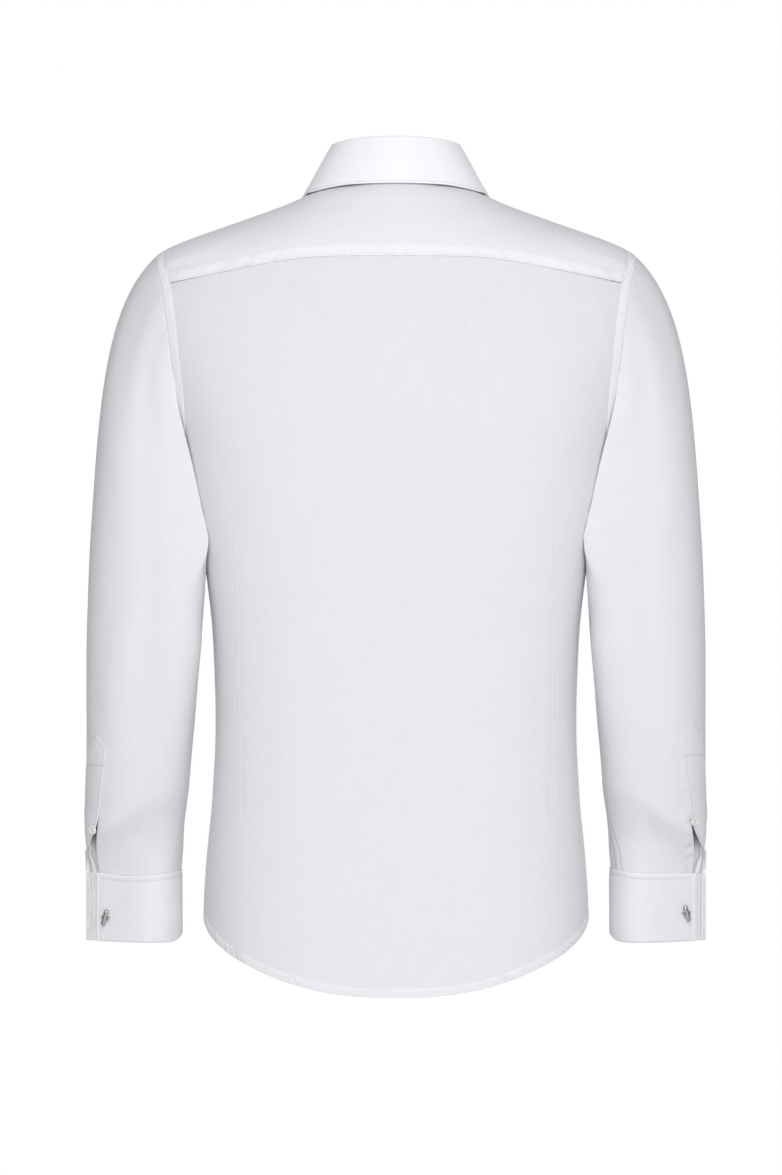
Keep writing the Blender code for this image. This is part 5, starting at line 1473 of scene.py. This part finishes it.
def make_gauntlet(side):
    """Pointed strip over the slit, with a stitched edge all round its closed upper part."""
    across = np.linspace(-1, 1, 41)
    down = graded(130, 0.2)[:, None]
    heights = (side.tip - GAUNTLET_POINT * np.abs(across)) * (1 - down) + (CUFF_TOP + GAUNTLET_END) * down
    free, sewn = gauntlet_shares(heights)
    shares = free + (sewn - free) * (across[None] + 1) / 2
    inside = np.clip(shares, 0, 1)
    surface, normals = sleeve_surface(inside, heights, side)
    past = (shares - inside) * SLEEVE_GIRTH.read("girth", heights)
    edge_step = unit(surface - sleeve_surface(np.clip(inside - 0.02, 0, 1), heights, side)[0])
    surface = surface + edge_step * past[..., None]
    run = running(surface, 1)
    fall = running(surface, 0)
    from_sewn = run[:, -1:] - run
    near = np.minimum(np.minimum(from_sewn, run), fall + 1.0)
    from_step = heights - (side.slit_top + 4)
    relief = GAUNTLET_STANDOFF + GAUNTLET_WALL - 0.20 * bell(near - GAUNTLET_STITCH, 0.7)
    relief += pucker(from_sewn - GAUNTLET_STITCH, fall, 0.28, 7.0, 4.5, 401 + side.sign)
    relief += 0.25 * uneven(fall + 0.5 * run, 17.0, 405 + side.sign) * ease(near / 5)
    relief -= 0.35 * bell(from_step, 0.8)
    outer = surface + normals * relief[..., None]
    inner = surface + normals * (GAUNTLET_STANDOFF - 0.3)
    # Painted shade along the stitch row and the crease at the slit's top; a painted highlight along the
    # strip's edges.
    looks = {"ditch": 0.5 * bell(near - 1.9, 0.6) + 0.5 * bell(from_step, 0.9), "flip": side.flip}
    looks["layers"] = 0.9 * ease((1.3 - near) / 0.6)
    name = f"gauntlet_{side.word}"
    piece = make_cloth(f"{name}_panel", outer, inner, cotton, "cotton_double", name, **looks)
    runs = [grid_line(outer, normals, from_sewn, GAUNTLET_STITCH, side.flip, turned=True, reverse=True)]
    top_rows = int(np.argmin(np.abs(heights[:, 20] - side.slit_top)))
    free_line = grid_line(outer, normals, run, GAUNTLET_STITCH, side.flip, turned=True)
    runs.append(tuple(part[:top_rows] for part in free_line))
    runs += [(outer[row] * side.flip, normals[row] * side.flip) for row in (2, top_rows)]
    row, column = int(np.argmin(np.abs(heights[:, 1] - side.button))), 1
    return piece, runs, outer[row, column] * side.flip, normals[row, column] * side.flip


# ---------------------------------------------------------------- cuffs and cufflinks


def fin_placement(side):
    """Matrix with its origin inside the fin at the buttonhole and its Z axis out of the fin's back."""
    x, y = FIN_MIDDLE
    slant = math.radians(FIN_SLANT)
    return placed((x * side.sign, y, side.link), (math.sin(slant) * side.sign, math.cos(slant), 0))


def placed(origin, normal):
    """Matrix whose Z axis is the normal and whose Y axis is as near upright as it can be."""
    z_axis = Vector(normal).normalized()
    x_axis = Vector((0, 0, 1)).cross(z_axis).normalized()
    rotation = Matrix((x_axis, z_axis.cross(x_axis), z_axis)).transposed().to_4x4()
    return Matrix.Translation(Vector(origin)) @ rotation


def cuff_section():
    """Outer and inner faces of the folded cuff as (inset, height) pairs, from the free edge down
    round the fold and up the layer beneath."""
    radius = CUFF_DEPTH / 2
    straight = np.linspace(CUFF_TOP - 1.6, CUFF_FOLD + radius, 40)
    deep = CUFF_DEPTH - CUFF_WALL
    above = [(0.45, 0.65, CUFF_TOP), (0.12, CUFF_WALL - 0.1, CUFF_TOP - 0.12)]
    above = np.array(above + [(0.0, CUFF_WALL, height) for height in [CUFF_TOP - 0.6, *straight]])
    below = [(CUFF_DEPTH, deep, height) for height in [*straight[::-1], CUFF_TOP - 0.5]]
    below = np.array(below + [(CUFF_DEPTH - 0.4, deep + 0.4, CUFF_TOP)])
    turns = np.linspace(0, math.pi, 13)[1:-1]
    faces = []
    for column, bend in enumerate((radius, radius - CUFF_WALL)):
        fold = stacked(radius - bend * np.cos(turns), CUFF_FOLD + radius - bend * np.sin(turns))
        faces.append(np.concatenate([above[:, [column, 2]], fold, below[:, [column, 2]]]))
    count = len(faces[0]) - (len(faces[0]) + 1) % 2
    return faces[0][:count], faces[1][:count]


def make_cuff(side):
    edge, outward = cuff_plan(CUFF_COLUMNS)
    share = np.clip((FOLD_RISE_FROM - edge[:, 0]) / (FOLD_RISE_FROM - edge[:, 0].min()), 0, 1)
    rise = FOLD_RISE * (1 - np.sqrt(1 - share**2))
    top_rise = softened(np.interp(edge[:, 0], CUFF_PLACES, side.cuff_rises), 3.0)

    def swept(section):
        inset, height = section[:, :1], section[:, 1:]
        down = (CUFF_TOP - height) / (CUFF_TOP - CUFF_FOLD)
        raised = height + rise * down + top_rise * (1 - down)
        return np.concatenate([edge - outward * inset[..., None], raised[..., None]], axis=-1)

    section, beneath = cuff_section()
    outer, inner = swept(section), swept(beneath)
    facing = np.column_stack([outward, np.zeros(len(edge))])
    inset = section[:, :1]
    in_front = inset < 0.2
    behind = inset > CUFF_DEPTH - 0.2
    fall = CUFF_TOP - section[:, 1:] + 0 * outer[..., 0]
    run = running(outer[:1], 1) + 0 * fall
    from_front = run[:, -1:] - run
    from_end = np.minimum(run, from_front)
    near = np.minimum(fall, from_end)
    relief = -0.25 * bell(near - CUFF_STITCH, 0.8)
    relief += pucker(near - CUFF_STITCH, run, 0.14, 8.0, 4.0, 501 + side.sign)
    relief += 0.45 * uneven(run + 0.7 * fall, 60.0, 503 + side.sign) * ease(from_end / 25) * ease(fall / 12)
    relief *= in_front
    # Painted shade along the stitch row and in the fin's grooves.
    ditch = 0.45 * bell(near - CUFF_STITCH, 0.8) * in_front
    wander = 0.9 * uneven(fall, 24.0, 507 + side.sign)
    for place, depth in FIN_GROOVES:
        relief -= depth * bell(from_front - place + wander, 0.75) * behind
        ditch += depth * bell(from_front - place + wander, 0.8) * behind
    shift = np.where(inset < CUFF_DEPTH / 2, 1.0, -1.0)[..., None] * facing * relief[..., None]
    outer, inner = outer + shift, inner + shift
    # A painted highlight along the top edge and the ends of the cuff's face; the rest of the face a little
    # whiter as doubled cloth.
    looks = {"layers": 0.25 + 0.75 * ease((1.5 - np.minimum(fall, run)) / 0.8) * in_front, "ditch": ditch}
    name = f"cuff_{side.word}"
    piece = make_cloth(f"{name}_panel", outer, inner, cotton, "cotton_double", name, flip=side.flip, **looks)
    cut_buttonhole(piece, side)
    rows = int(np.sum(section[:, 1] > CUFF_FOLD + 3) // 2)
    face = outer[:rows]
    normals = facing + 0 * face
    runs = [grid_line(face, normals, fall[:rows], CUFF_STITCH, side.flip)]
    for order in (slice(None), slice(None, None, -1)):
        parts = (face[:, order], normals[:, order], running(face[:, order], 1))
        runs.append(grid_line(*parts, CUFF_STITCH, side.flip, turned=True))
    return piece, runs


CUFF_COLUMNS = 150
CUFF_STITCH = 4.6
CUFF_PLACES = [205.0, 232.0, 260.0, 286.0]  # across the cuff, where its free edge rises by cuff_rises
FIN_GROOVES = [(2.2, 0.8), (5.4, 0.9), (8.6, 0.6)]  # distance from the fin's front end, and depth


def buttonhole_outline(count):
    """Closed lens with a round swelling round the post, as (x, y) in millimetres."""
    turns = np.linspace(0, 2 * math.pi, count, endpoint=False)
    x = 0.5 * HOLE_LENGTH * np.cos(turns)
    height = HOLE_SLIT + (0.5 * HOLE_HEIGHT - HOLE_SLIT) * bell(x, 2.3)
    return x, height * np.sign(np.sin(turns)) * np.abs(np.sin(turns)) ** 0.4


def apply_boolean(piece, other, operation):
    """Cuts or joins two meshes for good, without leaving a modifier."""
    modifier = piece.modifiers.new("shape", "BOOLEAN")
    modifier.operation = operation
    modifier.object = other
    modifier.solver = "EXACT"
    bpy.context.view_layer.update()
    evaluated = piece.evaluated_get(bpy.context.evaluated_depsgraph_get())
    mesh = bpy.data.meshes.new_from_object(evaluated)
    piece.modifiers.clear()
    old = piece.data
    piece.data = mesh
    bpy.data.meshes.remove(old)
    bpy.data.objects.remove(other, do_unlink=True)


def finish_solid(name, bm, material, sharp=35.0):
    bmesh.ops.scale(bm, vec=(MM, MM, MM), verts=bm.verts)
    bmesh.ops.recalc_face_normals(bm, faces=bm.faces)
    mesh = bpy.data.meshes.new(name)
    bm.to_mesh(mesh)
    bm.free()
    return smooth_object(name, mesh, material, sharp)


def prism(name, outline, low, high, placement, material):
    """Closed prism over an (x, y) outline, placed by a matrix in millimetres."""
    bm = bmesh.new()
    rings = [[bm.verts.new(placement @ Vector((x, y, z))) for x, y in zip(*outline)] for z in (low, high)]
    bm.faces.new(rings[0])
    bm.faces.new(rings[1][::-1])
    for step in range(len(rings[0])):
        after = (step + 1) % len(rings[0])
        bm.faces.new((rings[0][step], rings[1][step], rings[1][after], rings[0][after]))
    return finish_solid(name, bm, material)


def cut_buttonhole(cuff, side):
    reach = FIN_HALF + 6
    shape = (buttonhole_outline(48), -reach, reach, fin_placement(side), double_cotton)
    apply_boolean(cuff, prism("buttonhole_cutter", *shape), "DIFFERENCE")


def rim_of_stitches(outline, placement, height, radius=0.7):
    """Satin stitches round a buttonhole: a ring of thread on the cloth."""
    corners = [(x * 1.05, y * 1.12 + math.copysign(0.45, y), height) for x, y in zip(*outline)]
    points = [placement @ Vector(corner) for corner in corners]
    return tube(points, np.full(len(points), radius), 8, closed=True)


def make_buttonhole_rims(side):
    outline = buttonhole_outline(96)
    heights = (FIN_HALF + 0.05, -FIN_HALF - 0.05)
    rims = [rim_of_stitches(outline, fin_placement(side), height) for height in heights]
    thread_object(f"buttonhole_{side.word}", rims, "cotton_double")


def lathe(name, profile, segments, placement, material, sharp=35.0):
    """Body turned round the local Z axis; the profile is (radius, height) from axis to axis."""
    bm = bmesh.new()
    rings = []
    for radius, height in profile:
        turns = [2 * math.pi * step / segments for step in range(segments)] if radius else [0.0]
        corners = [Vector((radius * math.cos(turn), radius * math.sin(turn), height)) for turn in turns]
        rings.append([bm.verts.new(placement @ corner) for corner in corners])
    for lower, upper in zip(rings, rings[1:]):
        for step in range(segments):
            after = (step + 1) % segments
            corners = [lower[step % len(lower)], lower[after % len(lower)]]
            corners += [upper[after % len(upper)], upper[step % len(upper)]]
            bm.faces.new(list(dict.fromkeys(corners)))
    return finish_solid(name, bm, material, sharp)


def arc(centre, radius, first, last, count):
    """Points of a profile's rounded corner, from one angle to another, in degrees."""
    turns = np.radians(np.linspace(first, last, count))
    return [(centre[0] + radius * math.cos(turn), centre[1] + radius * math.sin(turn)) for turn in turns]


def make_cufflink(side):
    name = f"cufflink_{side.word}"
    back = fin_placement(side)
    swung = back @ Matrix.Rotation(math.radians(LINK_BAR_TILT * side.sign), 4, "Z")
    fork_start = FIN_HALF + LINK_FORK_START
    bar_middle = fork_start + LINK_FORK_FLOOR + LINK_BAR_RADIUS
    fork_top = bar_middle + LINK_FORK_LIP
    flange_back = -FIN_HALF - LINK_PLAY
    flange_front = flange_back - LINK_FLANGE_THICKNESS
    bar_place = swung @ Matrix.Translation((0, 0, bar_middle)) @ Matrix.Rotation(math.pi / 2, 4, "X")

    profile = [(0, flange_front)]
    profile += arc((LINK_FLANGE_RADIUS - 0.4, flange_front + 0.4), 0.4, -90, 0, 4)
    profile += arc((LINK_FLANGE_RADIUS - 0.4, flange_back - 0.4), 0.4, 0, 90, 4)
    stem = [(0.8, flange_back), (0.2, flange_back + 0.3), (0, flange_back + 0.9), (0, fork_start + 0.6)]
    profile += [(LINK_POST_RADIUS + swell, height) for swell, height in stem] + [(0, fork_start + 0.6)]
    post = lathe(f"{name}_stem", profile, 40, back, silver)
    bm = bmesh.new()
    width = 2 * (LINK_BAR_RADIUS + LINK_FORK_WALL)
    size = Matrix.Diagonal((width, LINK_FORK_WIDTH, fork_top - fork_start, 1.0))
    middle = Matrix.Translation((0, 0, 0.5 * (fork_top + fork_start)))
    bmesh.ops.create_cube(bm, size=1.0, matrix=swung @ middle @ size)
    bmesh.ops.bevel(bm, geom=bm.edges[:], offset=0.35, segments=3, affect="EDGES", profile=0.6)
    apply_boolean(post, finish_solid(f"{name}_fork_shape", bm, silver), "UNION")
    hole = LINK_BAR_RADIUS + 0.25
    profile = [(0, -hole * 2), (hole, -hole * 2), (hole, hole * 2), (0, hole * 2)]
    apply_boolean(post, lathe(f"{name}_bore_shape", profile, 40, bar_place, silver), "DIFFERENCE")
    placed_piece(post, "metal", f"{name}_post")

    half = LINK_BAR_LENGTH / 2
    ends = [(0, 0), (0.7, 0.05), (1.3, 0.35), (1.75, 0.95), (2.05, 1.7), (2.25, 2.6), (LINK_BAR_RADIUS, 3.4)]
    ends += [(LINK_BAR_RADIUS - 0.12, 3.55), (LINK_BAR_RADIUS - 0.12, 3.75), (LINK_BAR_RADIUS, 3.9)]
    profile = [(radius, place - half) for radius, place in ends] + [(LINK_BAR_RADIUS, 0)]
    profile += [(radius, half - place) for radius, place in reversed(ends)]
    placed_piece(lathe(f"{name}_torpedo", profile, 40, bar_place, silver), "metal", f"{name}_bar")

    front = flange_front - 0.1
    edge = front - LINK_FACE_THICKNESS
    dents = [(0.25, front), (0, front - 0.25), (0, edge + 0.2), (0.25, edge)]
    dents += [(0.9, edge), (1.1, edge + 0.25), (1.3, edge)]
    profile = [(0, front)] + [(LINK_FACE_RADIUS - dent, height) for dent, height in dents]
    for turn in np.linspace(0.15, 1, 7) * math.pi / 2:
        radius = (LINK_FACE_RADIUS - 1.3) * math.cos(turn)
        profile.append((radius, edge - LINK_FACE_DOME * 0.9 * math.sin(turn)))
    profile[-1] = (0, profile[-1][1])
    placed_piece(lathe(f"{name}_front", profile, 48, back, silver), "metal", f"{name}_face")


# ---------------------------------------------------------------- buttons


def button_master(radius):
    """Four-hole button with a rounded rim and a dished middle, in its own frame in millimetres."""
    low = SEAM_GAP
    high = SEAM_GAP + BUTTON_THICKNESS
    dish = high - 0.68
    rim = 0.62 * radius
    profile = [(0, low), (radius - 1.1, low)]
    profile += arc((radius - 0.9, low + 0.9), 0.9, -70, 0, 5)
    profile += arc((radius - 0.7, high - 0.7), 0.7, 0, 110, 6)
    profile += [(rim + 0.35, high - 0.45), (rim, high - 0.62), (rim - 0.6, dish), (0, dish)]
    button = lathe("button_master", profile, 48, Matrix.Identity(4), pearl, 60.0)
    turns = np.linspace(0, 2 * math.pi, 20, endpoint=False)
    hole = 0.12 * radius
    spread = 0.24 * radius
    for x, y in ((1, 1), (1, -1), (-1, 1), (-1, -1)):
        outline = (x * spread + hole * np.cos(turns), y * spread + hole * np.sin(turns))
        cutter = prism("hole_shape", outline, low - 1, high + 1, Matrix.Identity(4), pearl)
        apply_boolean(button, cutter, "DIFFERENCE")
    mesh = button.data
    bpy.data.objects.remove(button, do_unlink=True)
    return mesh, spread, dish


def make_button(name, master, placement, node):
    mesh, spread, face = master
    copy = mesh.copy()
    copy.transform(Matrix.Translation(placement.translation * MM) @ placement.to_3x3().to_4x4())
    placed_piece(add_object(name, copy), "button", node)
    shares = np.linspace(-1, 1, 9)
    strands = []
    for x in (-spread, spread):
        for strand in (-0.14, 0.14):
            line = stacked(x + strand, shares * spread, face - 0.15 + 0.28 * (1 - shares**2))
            strands.append(tube([placement @ Vector(corner) for corner in line], np.full(9, 0.15), 6))
    thread_object(f"{name}_thread", strands, "button")


def make_front_buttons(master):
    holes = []
    for number, height in enumerate(BUTTON_HEIGHTS, 1):
        spot = np.array(math.pi), np.array(float(height))
        normal = body_normal(*spot)
        place = placed(body_point(*spot) + normal * LAP_LIFT, normal)
        make_button(f"button_{number}", master, place, f"front_button_{number}")
        holes.append(place @ Matrix.Rotation(math.pi / 2, 4, "Z"))
    lower, upper, turns = stand_half(True)
    at = int(np.argmin(np.abs(turns - 180)))
    normal = unit(np.cross(lower[at + 1] - lower[at - 1], upper[at] - lower[at]))
    normal = normal * np.sign(-normal[1])
    place = placed(0.5 * (lower[at] + upper[at]) + normal * (STAND_BOW + 0.2), normal)
    make_button("button_collar", master, place, "collar_button")
    holes.append(place)
    turns = np.linspace(0, 2 * math.pi, 64, endpoint=False)
    outline = (8.2 * np.cos(turns), 0.75 * np.sign(np.sin(turns)) * np.abs(np.sin(turns)) ** 0.5)
    rims = [rim_of_stitches(outline, hole, 0.18, 0.34) for hole in holes]
    thread_object("front_buttonholes", rims, "cotton_double")


# ---------------------------------------------------------------- the shirt


def make_shirt():
    back = make_back()
    yoke, yoke_run = make_yoke()
    stand, stand_run = make_stand()
    fall, fall_runs = make_fall()
    hem_line = both_halves(seam(BACK_HEM, False))
    back_hem, hem_run = make_hem("back_hem", hem_line[::-1], 121)
    front_line = np.concatenate([seam(FRONT_HEM, True, True), front_lap(FRONT_HEM[0][1])[1:]])[::-1]
    body_runs = [yoke_run, hem_run]
    master = button_master(FRONT_BUTTON_RADIUS)
    small_master = button_master(SLEEVE_BUTTON_RADIUS)
    bands = []
    for side in SIDES:
        front, placket_run = make_front(side)
        band, band_runs = make_armhole_band(side)
        seam_piece, seam_runs = make_side_seam(side)
        hem, hem_run = make_hem(f"front_{side.word}_hem", front_line, 131 + side.sign, side.flip)
        body_runs += [placket_run, *band_runs, *seam_runs, hem_run]
        bands += [band, seam_piece]
        sleeve, head_run = make_sleeve(side)
        gauntlet, gauntlet_runs, centre, normal = make_gauntlet(side)
        binding = make_binding(side)
        cuff, cuff_runs = make_cuff(side)
        stitches(f"sleeve_{side.word}_stitches", [head_run] + gauntlet_runs + cuff_runs)
        make_buttonhole_rims(side)
        make_cufflink(side)
        place = placed(centre + normal * 0.4, normal)
        make_button(f"button_sleeve_{side.word}", small_master, place, f"sleeve_button_{side.word}")
    stitches("body_stitches", body_runs)
    stitches("collar_stitches", [stand_run] + fall_runs)
    make_front_buttons(master)


make_shirt()


# ---------------------------------------------------------------- stage

PHOTO_LONG_SIDE = 1175
PIXEL = 0.00095  # metres at the shirt
CAMERA_DISTANCE = 4.0
SENSOR = 24.0


def make_camera():
    data = bpy.data.cameras.new("camera")
    data.sensor_fit = "AUTO"
    data.sensor_width = SENSOR
    data.lens = SENSOR * CAMERA_DISTANCE / (PHOTO_LONG_SIDE * PIXEL)
    camera = add_object("camera", data)
    camera.location = (0.00475, CAMERA_DISTANCE, -0.368)
    camera.rotation_euler = (math.pi / 2, 0, math.pi)
    bpy.context.scene.camera = camera


def make_light(name, location, size, power):
    """Soft light, size wide and high in metres, that points at the middle of the shirt."""
    data = bpy.data.lights.new(name, "AREA")
    data.shape = "RECTANGLE"
    data.size, data.size_y = size
    data.energy = power
    light = add_object(name, data)
    light.location = location
    light.rotation_euler = (Vector((0, 0, -0.35)) - Vector(location)).to_track_quat("-Z", "Y").to_euler()


def make_world(fill_strength, paper_strength):
    """Soft fill from all round; the studio's paper shows as white."""
    world = bpy.data.worlds.new("studio")
    bpy.context.scene.world = world
    world.use_nodes = True
    tree = world.node_tree
    light = fill(tree, tree.nodes["Background"], {"Color": (0.97, 0.98, 1.0, 1), "Strength": fill_strength})
    paper = new_node(tree, "Background", {"Color": (1, 1, 1, 1), "Strength": paper_strength})
    path = new_node(tree, "LightPath")
    mix = new_node(tree, "MixShader", {0: path.outputs["Is Camera Ray"], 1: light, 2: paper})
    fill(tree, tree.nodes["World Output"], {"Surface": mix})


def make_floor():
    material, tree, shader, place = new_material("pale_floor")
    shade = line_node(tree, noise(tree, place, 1.5), 0.02, 0.90)
    fill(tree, shader, {"Base Color": shade, "Roughness": 0.9})
    bm = bmesh.new()
    bmesh.ops.create_grid(bm, x_segments=1, y_segments=1, size=3.0)
    mesh = bpy.data.meshes.new("floor")
    bm.to_mesh(mesh)
    bm.free()
    floor = add_object("floor", mesh, material)
    floor.location = (0, 0, -1.45)


make_camera()
make_light("key", (-0.38, 4.7, 0.1), (2.2, 1.8), 82)
make_light("key_high", (-0.1, 4.2, 2.2), (2.4, 1.4), 58)
make_light("front_fill", (0, -4.6, 0.6), (3.0, 2.4), 70)
make_world(0.38, 1.0)
make_floor()
bpy.context.scene.view_settings.view_transform = "Standard"
